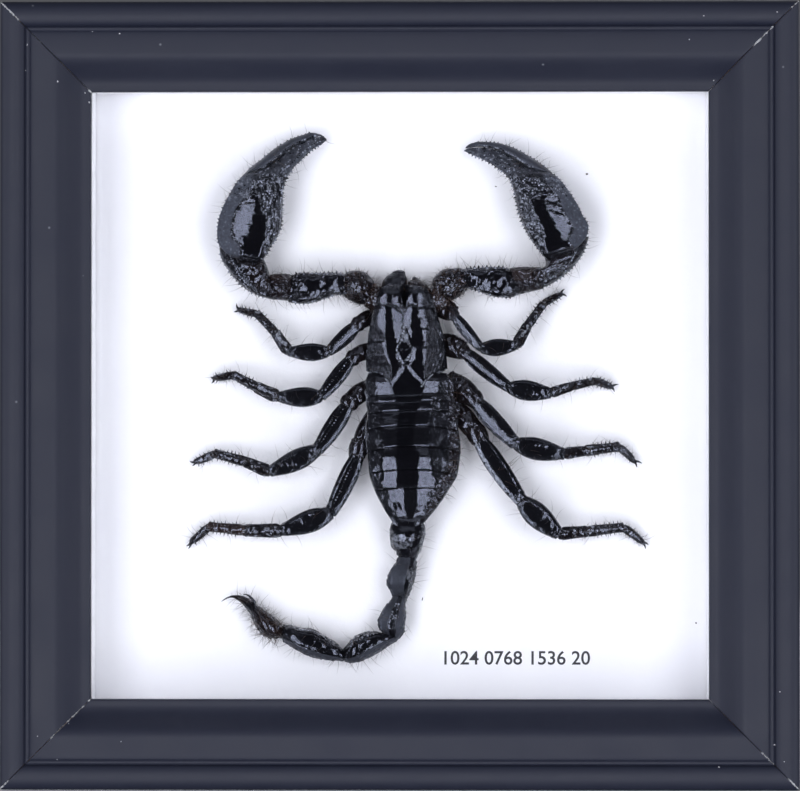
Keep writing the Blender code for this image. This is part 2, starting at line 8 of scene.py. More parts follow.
import bmesh
import bpy
import numpy as np
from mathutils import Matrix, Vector


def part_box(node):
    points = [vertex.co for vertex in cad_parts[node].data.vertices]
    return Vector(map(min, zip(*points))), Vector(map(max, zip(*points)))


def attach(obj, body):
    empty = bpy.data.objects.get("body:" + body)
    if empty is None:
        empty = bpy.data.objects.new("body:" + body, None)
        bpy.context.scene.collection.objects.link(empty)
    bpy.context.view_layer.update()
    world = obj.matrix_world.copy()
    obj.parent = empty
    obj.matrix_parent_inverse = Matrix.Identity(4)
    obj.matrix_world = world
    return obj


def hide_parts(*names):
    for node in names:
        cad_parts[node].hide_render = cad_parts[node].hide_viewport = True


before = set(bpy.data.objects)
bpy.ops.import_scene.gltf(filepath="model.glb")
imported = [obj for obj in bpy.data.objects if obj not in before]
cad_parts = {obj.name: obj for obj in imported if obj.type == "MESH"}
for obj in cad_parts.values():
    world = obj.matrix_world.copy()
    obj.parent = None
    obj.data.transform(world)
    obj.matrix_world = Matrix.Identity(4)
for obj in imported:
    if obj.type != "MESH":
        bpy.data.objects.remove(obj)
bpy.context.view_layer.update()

MM = 0.001
FRONT_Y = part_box("rail_left")[0][1]
BOARD_FACE_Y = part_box("mount_board")[0][1]
MIDDLE_Z = (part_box("rail_left")[0][2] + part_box("rail_left")[1][2]) / 2
FRAME_WIDTH = (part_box("rail_right")[1][0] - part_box("rail_left")[0][0]) / MM
FRAME_HEIGHT = (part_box("rail_top")[1][2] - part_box("rail_bottom")[0][2]) / MM
FRAME_DEPTH = (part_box("rail_left")[1][1] - FRONT_Y) / MM
RAIL_FACE = (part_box("rail_left")[1][0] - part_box("rail_left")[0][0]) / MM


# Shapes

def soft_step(value, low, high):
    """0 below the first bound and 1 above the second, with no corner between."""
    share = np.clip((value - low) / (high - low), 0, 1)
    return share * share * (3 - 2 * share)


def bell(distance, width, power=2):
    """1 in the middle, dying away past the width."""
    return np.exp(-((distance / width) ** power))


def read(pairs, at, *ends):
    """Values read at given places from (place, value) pairs."""
    stops, values = zip(*pairs)
    return np.interp(at, stops, values, *ends)


def flow(stops, values, at):
    """Values carried smoothly through their stops."""
    values = np.asarray(values, float)
    gaps = np.diff(stops)[:, None]
    slopes = np.diff(values, axis=0) / gaps
    tangents = np.zeros_like(values)
    tangents[1:-1] = (slopes[:-1] * gaps[1:] + slopes[1:] * gaps[:-1]) / (gaps[:-1] + gaps[1:])
    tangents[0] = slopes[0]
    tangents[-1] = slopes[-1]
    index = np.clip(np.searchsorted(stops, at, side="right") - 1, 0, len(stops) - 2)
    gap = gaps[index]
    share = (at - stops[index])[:, None] / gap
    start = (1 + 2 * share) * (1 - share) ** 2
    end = share ** 2 * (3 - 2 * share)
    leave = share * (1 - share) ** 2
    arrive = share ** 2 * (share - 1)
    return (
        start * values[index]
        + end * values[index + 1]
        + gap * (leave * tangents[index] + arrive * tangents[index + 1])
    )


def smooth_line(points, count):
    """A smooth run of points through a few chosen ones."""
    points = np.asarray(points, float)
    steps = np.linalg.norm(np.diff(points, axis=0), axis=1)
    stops = np.concatenate([[0.0], np.cumsum(steps)])
    return flow(stops, points, np.linspace(0, stops[-1], count))


def to_world(points):
    """Board millimetres (across, up, height) to metres in the frame's own space."""
    points = np.asarray(points, float).reshape(-1, 3)
    return np.stack(
        [
            points[:, 0] * MM,
            BOARD_FACE_Y - points[:, 2] * MM,
            MIDDLE_Z + points[:, 1] * MM,
        ],
        axis=1,
    )


def add_object(name, data):
    item = bpy.data.objects.new(name, data)
    bpy.context.collection.objects.link(item)
    return item


def add_mesh(name, points, faces, materials, paints=None, face_materials=None, smooth=True, uneven=None):
    """A mesh object whose points are already in metres, with its painted masks."""
    mesh = bpy.data.meshes.new(name)
    mesh.from_pydata(np.asarray(points).tolist(), [], faces)
    for material in materials:
        mesh.materials.append(material)
    if face_materials is not None:
        mesh.polygons.foreach_set("material_index", np.asarray(face_materials, np.int32))
    for key, values in (paints or {}).items():
        mask = mesh.attributes.new(key, "FLOAT", "POINT")
        mask.data.foreach_set("value", np.asarray(values, np.float32))
    mesh.update()
    if smooth:
        mesh.shade_smooth()
    if uneven is not None:
        mesh.set_sharp_from_angle(angle=math.radians(uneven))
    return add_object(name, mesh)


def grid_faces(rings, sides, first=0):
    """Quads between rings of points, each ring closed on itself."""
    ring = np.arange(rings - 1)[:, None]
    side = np.arange(sides)[None, :]
    following = (side + 1) % sides
    low = first + ring * sides
    high = low + sides
    quads = np.stack([low + side, low + following, high + following, high + side], axis=2)
    return quads.reshape(-1, 4).tolist()


# The forms that something may grow on, in the order in which they are made
GROWN = []
RIPPLE_WAVES = 26
SHORTEST_WAVE = 0.7
LONGEST_WAVE = 1.7
NO_STRETCH = (1.0, 1.0, 1.0)


class Form:
    """A closed skin swept through cuts across the board. Relief and painted masks are added to its grid.

    Each cut is its left edge across and up, its right edge across and up, then how far its underside
    and top stand off the board. Sides runs from -1 to 1 across the form, shares from 0 to 1 along it.
    """

    CAP_RINGS = 7
    TOP_SHARE = 0.72

    def __init__(self, cuts, rings, sides, caps, roundness=1.0, belly=0.45, stops=None, warp=None):
        rows = np.array(cuts, float)
        middles = (rows[:, 0:2] + rows[:, 2:4]) / 2
        steps = np.linalg.norm(np.diff(middles, axis=0), axis=1)
        run = np.concatenate([[0.0], np.cumsum(steps)])
        if stops is None:
            stops = np.linspace(0, run[-1], rings)
        body = flow(run, rows, stops)
        if len(rows) == 2:
            body = rows[0] + (rows[1] - rows[0]) * (stops / run[-1])[:, None]

        angles = np.linspace(0, math.pi / 2, self.CAP_RINGS + 1)[:-1][::-1]
        first = middles[0] - middles[1]
        last = middles[-1] - middles[-2]
        first = first / np.linalg.norm(first)
        last = last / np.linalg.norm(last)
        shares = np.concatenate([np.cos(angles), np.ones(len(stops)), np.cos(angles[::-1])])
        drawn_in = np.sin(angles)
        reach = np.concatenate([drawn_in * caps[0], np.zeros(len(stops)), drawn_in[::-1] * caps[1]])
        rows = np.concatenate(
            [np.repeat(body[:1], len(angles), axis=0), body, np.repeat(body[-1:], len(angles), axis=0)]
        )
        heading = np.concatenate(
            [
                np.repeat(first[None], len(angles), axis=0),
                np.zeros((len(stops), 2)),
                np.repeat(last[None], len(angles), axis=0),
            ]
        )
        centre = (rows[:, 0:2] + rows[:, 2:4]) / 2 + heading * reach[:, None]
        half = (rows[:, 2:4] - rows[:, 0:2]) / 2 * shares[:, None]
        waist = rows[:, 4] + (rows[:, 5] - rows[:, 4]) * belly
        above = (rows[:, 5] - waist) * shares
        below = (waist - rows[:, 4]) * shares

        above_count = int(sides * self.TOP_SHARE)
        below_count = sides - above_count
        turn = math.pi * np.concatenate(
            [np.arange(above_count) / above_count, 1 + np.arange(below_count) / below_count]
        )
        self.turn = turn
        self.side = np.sign(np.cos(turn)) * np.abs(np.cos(turn)) ** roundness
        self.rise = np.sign(np.sin(turn)) * np.abs(np.sin(turn)) ** roundness
        across = centre[:, 0:1] + half[:, 0:1] * self.side
        up = centre[:, 1:2] + half[:, 1:2] * self.side
        tall = np.where(self.rise > 0, above[:, None] * self.rise, below[:, None] * self.rise)
        self.along = np.concatenate([np.zeros(len(angles)), stops, np.full(len(angles), run[-1])])
        self.length = run[-1]
        self.sides = self.side[None, :]
        self.shares = (self.along / self.length)[:, None]
        self.top = (self.rise > 0)[None, :]
        if warp is not None:
            up = up + warp(self.shares, self.sides)
        self.points = np.stack([across, up, waist[:, None] + tall], axis=2)
        self.poles = np.array(
            [
                [*(centre[0] + first * caps[0] * (1 - math.sin(angles[0]))), waist[0]],
                [*(centre[-1] + last * caps[1] * (1 - math.sin(angles[0]))), waist[-1]],
            ]
        )
        self.paints = {}
        self.settle()
        self.across = self.points[..., 0].copy()
        self.up = self.points[..., 1].copy()

    @property
    def shape(self):
        return self.points.shape[:2]

    @property
    def crown(self):
        """How high each ring reaches."""
        return self.points[..., 2].max(axis=1)[:, None]

    def settle(self):
        """The outward direction at each point of the grid as it now stands."""
        along = np.gradient(self.points, axis=0)
        around = np.roll(self.points, -1, axis=1) - np.roll(self.points, 1, axis=1)
        normal = np.cross(along, around)
        length = np.linalg.norm(normal, axis=2, keepdims=True)
        normal = normal / np.maximum(length, 1e-12)
        outward = self.points - self.points.mean(axis=1, keepdims=True)
        if (normal * outward).sum() < 0:
            normal = -normal
        self.normal = normal
        self.facing = np.clip(normal[..., 2], 0, 1)

    def roof(self, heights, blend):
        """Keeps the upper skin under a surface of heights, with a soft crease where they meet."""
        own = self.points[..., 2]
        gap = own - heights
        low = (own + heights - np.sqrt(gap ** 2 + blend ** 2)) / 2
        self.points[..., 2] = np.where(self.top, np.minimum(own, low), own)
        self.settle()

    def row(self, turn, start, end):
        """Points and outward directions along the form at an angle around it, between two shares."""
        column = int(np.argmin(np.abs(self.turn - math.radians(turn))))
        share = self.along / self.length
        kept = np.flatnonzero((share >= start) & (share <= end))[self.CAP_RINGS:-self.CAP_RINGS]
        return self.points[kept, column], self.normal[kept, column]

    def push(self, amount):
        """Moves the skin outward by an amount in millimetres."""
        self.points = self.points + self.normal * np.asarray(amount)[..., None]

    def paint(self, key, amount):
        """Adds to a mask that the material reads, from 0 to 1."""
        held = self.paints.get(key, np.zeros(self.shape))
        self.paints[key] = np.clip(np.maximum(held, amount), 0, 1)

    def from_line(self, line):
        """How far each point of the grid is from a line on the board."""
        line = np.asarray(line, float)
        place = np.stack([self.across, self.up], axis=2)
        nearest = np.full(self.shape, 1e9)
        for start, end in zip(line[:-1], line[1:]):
            run = end - start
            share = np.clip(((place - start) @ run) / max(run @ run, 1e-12), 0, 1)
            gap = place - (start + share[..., None] * run)
            nearest = np.minimum(nearest, np.linalg.norm(gap, axis=2))
        return nearest

    def from_spot(self, centre, reach, turn=0.0):
        """How far each point is from a spot, as a share of the spot's reach across and up."""
        angle = math.radians(turn)
        across = self.across - centre[0]
        up = self.up - centre[1]
        one = across * math.cos(angle) + up * math.sin(angle)
        two = -across * math.sin(angle) + up * math.cos(angle)
        return np.hypot(one / reach[0], two / reach[1])

    def ridge(self, line, width, height, curved=True):
        """A raised line, or a groove where the height is negative."""
        path = smooth_line(line, 24) if curved and len(line) > 2 else line
        self.push(height * bell(self.from_line(path), width) * self.facing)

    def lump(self, centre, reach, height, turn=0.0):
        """A soft swelling, or a dent where the height is negative."""
        self.push(height * bell(self.from_spot(centre, reach, turn), 1) * self.facing)

    def ripple(self, size, seed, stretch=NO_STRETCH):
        """A smooth random field over the skin, mostly from -1 to 1. Stretch lengthens its waves."""
        draw = np.random.default_rng(seed)
        place = self.points / np.array(stretch)
        total = np.zeros(self.shape)
        for _ in range(RIPPLE_WAVES):
            direction = draw.normal(size=3)
            direction /= np.linalg.norm(direction)
            length = size * draw.uniform(SHORTEST_WAVE, LONGEST_WAVE)
            total += np.sin(place @ direction * (math.tau / length) + draw.uniform(0, math.tau))
        return total / math.sqrt(RIPPLE_WAVES)

    def roughen(self, size, seed, depth, stretch=NO_STRETCH):
        """Pushes a random field into the skin all round."""
        self.push(self.ripple(size, seed, stretch) * depth)

    def ruffle(self, size, seed, depth, stretch=NO_STRETCH):
        """Pushes a random field into the upper side, fading towards the margins."""
        self.push(self.ripple(size, seed, stretch) * depth * self.facing)


# Masks that the shell material reads: matt for rough skin and, where strong, a painted sheen; brown for thin
# skin; pale for painted highlights and glints
SHELL_MASKS = ("matt", "brown", "pale")


def make_piece(name, forms, material):
    """One closed mesh from one or more forms. The forms are kept for what later grows on them."""
    GROWN.extend(forms)
    points = []
    faces = []
    paints = {key: [] for key in SHELL_MASKS}
    first = 0
    for form in forms:
        rings, sides = form.shape
        points.append(form.points.reshape(-1, 3))
        points.append(form.poles)
        quads = np.array(grid_faces(rings, sides, first))
        side = np.arange(sides)
        pole = first + rings * sides
        last = first + (rings - 1) * sides
        start_fan = np.stack([first + (side + 1) % sides, first + side, np.full(sides, pole)], axis=1)
        end_fan = np.stack([last + side, last + (side + 1) % sides, np.full(sides, pole + 1)], axis=1)
        if outward_sign(form) < 0:
            quads = quads[:, ::-1]
            start_fan = start_fan[:, ::-1]
            end_fan = end_fan[:, ::-1]
        faces += quads.tolist() + start_fan.tolist() + end_fan.tolist()
        for key in SHELL_MASKS:
            grid = form.paints.get(key, np.zeros(form.shape))
            paints[key].append(grid.reshape(-1))
            paints[key].append([grid[0].mean(), grid[-1].mean()])
        first += rings * sides + 2
    paints = {key: np.concatenate(parts) for key, parts in paints.items()}
    return add_mesh(name, to_world(np.concatenate(points)), faces, [material], paints)


def outward_sign(form):
    """1 if the quads of a form's grid, in world space, face outwards, else -1."""
    ring = form.shape[0] // 2
    here = to_world(form.points[ring])
    ahead = to_world(form.points[ring + 1])
    middle = here.mean(axis=0)
    edge = np.roll(here, -1, axis=0) - here
    total = (np.cross(edge, ahead - here) * (here - middle)).sum()
    return 1 if total > 0 else -1


# Shader building

def give(tree, value, socket):
    """Links a value to a socket, or sets it there as a constant. Colours come without their alpha."""
    if isinstance(value, bpy.types.NodeSocket):
        tree.links.new(value, socket)
    elif socket.type == "RGBA":
        socket.default_value = (*value, 1.0)
    else:
        socket.default_value = value


def add_node(tree, kind, inputs=None, **settings):
    made = tree.nodes.new(kind)
    for key, value in settings.items():
        setattr(made, key, value)
    for key, value in (inputs or {}).items():
        give(tree, value, made.inputs[key])
    return made


def calc(tree, operation, first, second):
    return add_node(tree, "ShaderNodeMath", {0: first, 1: second}, operation=operation).outputs[0]


def spread(tree, value, low, high, to_low=0.0, to_high=1.0):
    """A value carried from one range to another, held at its ends."""
    inputs = {"Value": value, "From Min": low, "From Max": high, "To Min": to_low, "To Max": to_high}
    return add_node(tree, "ShaderNodeMapRange", inputs, clamp=True).outputs["Result"]


def blend_colours(tree, share, first, second):
    made = add_node(tree, "ShaderNodeMix", {"Factor": share, "A": first, "B": second}, data_type="RGBA")
    return made.outputs["Result"]


def noise(tree, place, per_mm, detail, roughness=0.55):
    """Noise with so many waves to the millimetre."""
    inputs = {"Vector": place, "Scale": per_mm / MM, "Detail": detail, "Roughness": roughness}
    return add_node(tree, "ShaderNodeTexNoise", inputs).outputs["Fac"]


def stretched_noise(tree, place, stretch, per_mm, detail, roughness):
    mapped = add_node(tree, "ShaderNodeMapping", {"Vector": place, "Scale": stretch})
    return noise(tree, mapped.outputs[0], per_mm, detail, roughness)


def object_place(tree, scale=None):
    place = add_node(tree, "ShaderNodeTexCoord").outputs["Object"]
    if scale is None:
        return place
    return add_node(tree, "ShaderNodeVectorMath", {0: place, "Scale": scale}, operation="SCALE").outputs[0]


def mask(tree, name):
    return add_node(tree, "ShaderNodeAttribute", attribute_name=name).outputs["Fac"]


def new_group(name, inputs, outputs):
    """A shader node group with named sockets: numbers with their first values, then what comes out."""
    group = bpy.data.node_groups.new(name, "ShaderNodeTree")
    for label, value in inputs.items():
        group.interface.new_socket(label, in_out="INPUT", socket_type="NodeSocketFloat").default_value = value
    for label in outputs:
        kind = "NodeSocketColor" if label == "Color" else "NodeSocketFloat"
        group.interface.new_socket(label, in_out="OUTPUT", socket_type=kind)
    entry = group.nodes.new("NodeGroupInput")
    leave = group.nodes.new("NodeGroupOutput")
    return group, entry.outputs, leave.inputs


def place_group(tree, group, inputs):
    return add_node(tree, "ShaderNodeGroup", inputs, node_tree=group).outputs


def new_material(name, **sockets):
    """A Principled material with constant sockets. Its tree and shader come back with it."""
    material = bpy.data.materials.new(name)
    material.use_nodes = True
    tree = material.node_tree
    shader = tree.nodes["Principled BSDF"]
    for key, value in sockets.items():
        give(tree, value, shader.inputs[key.replace("_", " ")])
    return material, tree, shader


def finish_shader(tree, shader, colour, roughness=None, height=None, depth_mm=0.0):
    """Links what a material has worked out to its shader, the height as a fine bump."""
    give(tree, colour, shader.inputs["Base Color"])
    if roughness is not None:
        give(tree, roughness, shader.inputs["Roughness"])
    if height is not None:
        inputs = {"Height": height, "Distance": depth_mm * MM}
        give(tree, add_node(tree, "ShaderNodeBump", inputs).outputs["Normal"], shader.inputs["Normal"])


# Effects that several materials use

# Shell tones: black, then a slate painted sheen, thin brown skin, and a pale painted highlight
SHELL_BLACK = (0.0016, 0.0016, 0.0024)
SHELL_PAINTED_SHEEN = (0.034, 0.038, 0.050)
SHELL_BROWN = (0.013, 0.0065, 0.0042)
SHELL_PAINTED_HIGHLIGHT = (0.21, 0.225, 0.26)


def make_skin_group():
    """Shell skin: glossy black where bare, brown where thin, a slate painted sheen where matt and pale
    painted highlights where the pale mask says.
    """
    group, given, out = new_group(
        "shell_skin",
        {"Matt": 0.0, "Brown": 0.0, "Pale": 0.0, "Gloss Roughness": 0.1, "Grain per mm": 2.5},
        ["Color", "Roughness", "Height"],
    )
    place = object_place(group)
    patches = noise(group, place, 0.35, 2.0)
    streaks = noise(group, place, 1.7, 2.0, 0.6)
    grain = noise(group, object_place(group, given["Grain per mm"]), 1.0, 3.0, 0.6)

    streaky = spread(group, streaks, 0.38, 0.62, 0.6, 1.1)
    cloudy = calc(group, "MULTIPLY", streaky, spread(group, patches, 0.3, 0.7, 0.7, 1.1))
    # Painted sheen: a slate tone where the matt mask is strong, standing in for the grey reflection on matt
    # shell
    painted_sheen_share = calc(group, "MULTIPLY", spread(group, given["Matt"], 0.5, 1.0), cloudy)
    tint = calc(group, "MULTIPLY", given["Brown"], spread(group, patches, 0.3, 0.7, 0.55, 1.0))
    # Painted highlight: pale where the pale mask says, broken by streaks
    painted_highlight = calc(group, "MULTIPLY", given["Pale"], spread(group, streaks, 0.40, 0.56))
    base = blend_colours(group, painted_sheen_share, SHELL_BLACK, SHELL_PAINTED_SHEEN)
    tinted = blend_colours(group, tint, base, SHELL_BROWN)
    give(group, blend_colours(group, painted_highlight, tinted, SHELL_PAINTED_HIGHLIGHT), out["Color"])

    dull = calc(group, "MULTIPLY", given["Matt"], spread(group, patches, 0.25, 0.75, 0.46, 0.60))
    smear = spread(group, grain, 0.3, 0.7, -0.01, 0.03)
    rough = calc(group, "ADD", calc(group, "ADD", given["Gloss Roughness"], dull), smear)
    give(group, rough, out["Roughness"])
    share = calc(group, "ADD", calc(group, "MULTIPLY", given["Matt"], 0.85), 0.15)
    give(group, calc(group, "MULTIPLY", grain, share), out["Height"])
    return group


def make_chip_group():
    """A broken mask of worn spots where a painted mask says that the finish may be worn."""
    group, given, out = new_group("worn_spots", {"Where": 0.0, "Spots per mm": 2.0, "Amount": 0.5}, ["Worn"])
    spots = noise(group, object_place(group, given["Spots per mm"]), 1.0, 4.0, 0.7)
    reach = calc(group, "MULTIPLY", given["Where"], given["Amount"])
    edge = calc(group, "SUBTRACT", calc(group, "ADD", spots, reach), 1.0)
    give(group, spread(group, edge, -0.03, 0.03), out["Worn"])
    return group


def make_dust_group():
    """Sparse pale dust: a mask of small soft specks."""
    group, given, out = new_group("fine_dust", {"Specks per mm": 1.0, "Amount": 0.5}, ["Dust"])
    inputs = {"Vector": object_place(group, given["Specks per mm"]), "Scale": 1.0 / MM}
    cells = add_node(group, "ShaderNodeTexVoronoi", inputs)
    fleck = spread(group, cells.outputs["Distance"], 0.03, 0.1, 1.0, 0.0)
    chance = add_node(group, "ShaderNodeSeparateColor", {"Color": cells.outputs["Color"]}).outputs[0]
    kept = calc(group, "GREATER_THAN", given["Amount"], chance)
    give(group, calc(group, "MULTIPLY", fleck, kept), out["Dust"])
    return group


SKIN = make_skin_group()
WORN = make_chip_group()
DUST = make_dust_group()


# Materials

SHELL_IOR = 1.49
SHELL_TINT = (0.74, 0.80, 1.0)


def make_shell(name, gloss, grain, depth):
    material, tree, shader = new_material(name, IOR=SHELL_IOR, Specular_Tint=SHELL_TINT)
    inputs = {key.capitalize(): mask(tree, key) for key in SHELL_MASKS}
    skin = place_group(tree, SKIN, {**inputs, "Gloss Roughness": gloss, "Grain per mm": grain})
    finish_shader(tree, shader, skin["Color"], skin["Roughness"], skin["Height"], depth)
    return material


def make_moulding():
    """Blue-black satin lacquer with faint mottling, pale broken arrises at the mitres and dust."""
    material, tree, shader = new_material("moulding", IOR=1.36)
    place = object_place(tree)
    mottle = noise(tree, place, 0.12, 3.0)
    orange_peel = noise(tree, place, 1.6, 2.0)
    inputs = {"Where": mask(tree, "arris"), "Spots per mm": 1.7, "Amount": 0.62}
    worn = place_group(tree, WORN, inputs)["Worn"]
    dust = place_group(tree, DUST, {"Specks per mm": 0.33, "Amount": 0.05})["Dust"]
    lacquer = blend_colours(tree, mottle, (0.0070, 0.0085, 0.0180), (0.0095, 0.0115, 0.0225))
    chipped = blend_colours(tree, worn, lacquer, (0.42, 0.43, 0.44))
    dusty = blend_colours(tree, calc(tree, "MULTIPLY", dust, 0.35), chipped, (0.30, 0.31, 0.34))
    satin = spread(tree, mottle, 0.3, 0.7, 0.54, 0.62)
    dull = calc(tree, "ADD", satin, calc(tree, "MULTIPLY", worn, 0.4))
    finish_shader(tree, shader, dusty, dull, orange_peel, 0.006)
    return material


def make_raw_wood(name, squeeze):
    """Bare pine on the back of the rails, its grain long where the squeeze is small."""
    material, tree, shader = new_material(name, Roughness=0.75)
    place = object_place(tree)
    grain = stretched_noise(tree, place, squeeze, 0.9, 5.0, 0.65)
    flecks = noise(tree, place, 3.0, 2.0)
    tone = blend_colours(tree, spread(tree, grain, 0.3, 0.7), (0.30, 0.19, 0.10), (0.56, 0.41, 0.25))
    flecked = blend_colours(tree, spread(tree, flecks, 0.62, 0.72, 0.0, 0.4), tone, (0.16, 0.10, 0.06))
    finish_shader(tree, shader, flecked, height=grain, depth_mm=0.05)
    return material


def make_glass():
    """Clear pane. Light from lamps and from surfaces passes it straight."""
    material, tree, shader = new_material(
        "pane_glass", Base_Color=(1.0, 1.0, 1.0), Roughness=0.0, IOR=1.52, Transmission_Weight=1.0
    )
    path = add_node(tree, "ShaderNodeLightPath")
    scattered = calc(tree, "MAXIMUM", path.outputs["Is Diffuse Ray"], path.outputs["Is Glossy Ray"])
    straight = calc(tree, "MAXIMUM", path.outputs["Is Shadow Ray"], scattered)
    clear = add_node(tree, "ShaderNodeBsdfTransparent")
    inputs = {0: straight, 1: shader.outputs["BSDF"], 2: clear.outputs["BSDF"]}
    mixed = add_node(tree, "ShaderNodeMixShader", inputs)
    give(tree, mixed.outputs[0], tree.nodes["Material Output"].inputs["Surface"])
    return material


def make_paper(name, colour, shade, per_mm, depth):
    """White card or board: fine fibre in tone and surface."""
    material, tree, shader = new_material(name, Roughness=0.85)
    place = object_place(tree)
    fibre = noise(tree, place, per_mm, 4.0, 0.7)
    cloud = noise(tree, place, 0.06, 2.0)
    share = spread(tree, calc(tree, "ADD", fibre, cloud), 0.7, 1.3, 0.0, 0.5)
    finish_shader(tree, shader, blend_colours(tree, share, colour, shade), height=fibre, depth_mm=depth)
    return material


def make_hardboard():
    """Brown pressed board with fine flecks."""
    material, tree, shader = new_material("hardboard", Roughness=0.8)
    place = object_place(tree)
    fleck = noise(tree, place, 1.4, 4.0, 0.7)
    cloud = noise(tree, place, 0.05, 2.0)
    tone = blend_colours(tree, spread(tree, fleck, 0.35, 0.65), (0.20, 0.125, 0.07), (0.33, 0.22, 0.13))
    cloudy = blend_colours(tree, calc(tree, "MULTIPLY", cloud, 0.3), tone, (0.15, 0.09, 0.05))
    finish_shader(tree, shader, cloudy, height=fleck, depth_mm=0.04)
    return material


def make_zinc():
    """Bright zinc-plated steel with scuffs."""
    material, tree, shader = new_material("zinc_steel", Metallic=1.0)
    place = object_place(tree)
    brushed = stretched_noise(tree, place, (0.3, 1.0, 2.0), 4.0, 3.0, 0.6)
    tone = blend_colours(tree, noise(tree, place, 0.4, 3.0), (0.52, 0.53, 0.54), (0.70, 0.70, 0.68))
    finish_shader(tree, shader, tone, spread(tree, brushed, 0.3, 0.7, 0.25, 0.42), brushed, 0.01)
    return material


def make_speckled(name, per_mm, span, dark, light, **sockets):
    """The material of small things: soft spots of one tone on another."""
    material, tree, shader = new_material(name, **sockets)
    spots = noise(tree, object_place(tree), per_mm, 2.0)
    finish_shader(tree, shader, blend_colours(tree, spread(tree, spots, *span), dark, light))
    return material


def make_dust():
    material, tree, shader = new_material("dust", Roughness=0.9)
    tone = noise(tree, object_place(tree), 1.5, 2.0)
    finish_shader(tree, shader, blend_colours(tree, tone, (0.30, 0.30, 0.32), (0.62, 0.62, 0.64)))
    return material


def make_bead_shell():
    """Glossy shell of granules and teeth. The tips of many are painted pale as a painted highlight."""
    sockets = {"Roughness": 0.12, "IOR": SHELL_IOR, "Specular_Tint": SHELL_TINT}
    material, tree, shader = new_material("bead_shell", **sockets)
    # Painted highlight: pale tips on many beads
    painted_highlight = spread(tree, noise(tree, object_place(tree), 1.1, 1.0), 0.46, 0.60)
    finish_shader(tree, shader, blend_colours(tree, painted_highlight, SHELL_BLACK, (0.20, 0.215, 0.26)))
    return material


SHELLS = {
    "black_shell": make_shell("black_shell", 0.08, 2.6, 0.03),
    "leg_shell": make_shell("leg_shell", 0.12, 2.2, 0.03),
}
MOULDING = make_moulding()
LEVEL_WOOD = make_raw_wood("raw_wood_level", (0.12, 1.0, 1.6))
UPRIGHT_WOOD = make_raw_wood("raw_wood_upright", (1.6, 1.0, 0.12))
GLASS = make_glass()
WHITE_LINER = make_paper("white_liner", (0.86, 0.86, 0.88), (0.80, 0.80, 0.84), 1.2, 0.02)
WHITE_BOARD = make_paper("white_board", (0.89, 0.89, 0.91), (0.83, 0.83, 0.87), 0.9, 0.05)
HARDBOARD = make_hardboard()
ZINC = make_zinc()
INK = make_speckled("grey_ink", 6.0, (0.4, 0.7), (0.020, 0.020, 0.024), (0.045, 0.045, 0.052), Roughness=0.7)
HAIR_DARK = (0.012, 0.010, 0.010)
HAIR_LIGHT = (0.060, 0.034, 0.020)
BRISTLE = make_speckled("bristle", 0.25, (0.35, 0.65), HAIR_DARK, HAIR_LIGHT, Roughness=0.35)
DUST_FLECK = make_dust()
BEAD_SHELL = make_bead_shell()


def finish_piece(piece, node=None):
    """Rides a finished piece on the case and hides the CAD node that it stands for."""
    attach(piece, "root")
    if node:
        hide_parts(node)
    return piece


def finish_shell(name, forms, slot, node):
    """One shell of the specimen, made from its forms, in place of its CAD node."""
    finish_piece(make_piece(name, forms, SHELLS[slot]), node)


def finish_node(node, material):
    """Gives a CAD node that stays its own material."""
    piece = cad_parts[node]
    for slot in piece.material_slots:
        slot.material = material
    if not piece.material_slots:
        piece.data.materials.append(material)


# Frame rails

# The moulding's section: distance in from the outer edge, then depth behind the front plane
BEAD = {"crest": 2.75, "drop": 2.4, "inner_reach": 2.0, "inner_drop": 1.45}
FILLET = {"start": 5.05, "end": 5.45, "depth": 1.1, "reach": 0.24, "rise": 0.08}
CUSHION = {"start": 5.75, "edge_depth": 1.4, "crest": 9.9, "crest_depth": 0.9}
COVE = {"end": 16.1, "depth": 5.0}
LIP = {"crest": 16.6, "rise": 0.42}
RABBET = {"width": 5.0, "shelf": 7.0}
BACK_EDGE = {"width": 0.35, "ease": 0.1}
MITRE_GAP = 0.05
ARRIS_WIDTH = 0.22
ARRIS_DROP = 0.09
MITRE_STEPS = [0.0, 0.07, 0.14, ARRIS_WIDTH, 0.4, 0.9]
WEAR_REACH = 0.6
UNEVEN_ANGLE = 40
NEARLY = 0.1

# Worn spots along each mitre: from and to, in from the outer corner, and how strong
WORN_MITRES = {
    ("top", "left"): [(0.0, 3.6, 1.0), (3.6, 16.0, 0.62), (16.2, 17.0, 1.0)],
    ("top", "right"): [(0.0, 1.6, 0.9), (5.0, 8.6, 0.95), (8.6, 17.0, 0.6)],
    ("bottom", "left"): [(0.0, 1.8, 1.0), (1.8, 9.5, 0.62), (9.5, 17.0, 0.85)],
    ("bottom", "right"): [(0.3, 2.4, 0.9), (2.4, 5.0, 0.5), (5.0, 7.2, 0.9), (7.2, 17.0, 0.55)],
}


def quarter(centre, reach_across, reach_deep, start, end, count):
    """Points on an ellipse between two angles in degrees, depth counted backwards."""
    turn = np.radians(np.linspace(start, end, count))
    return np.stack([centre[0] + reach_across * np.cos(turn), centre[1] - reach_deep * np.sin(turn)], axis=1)


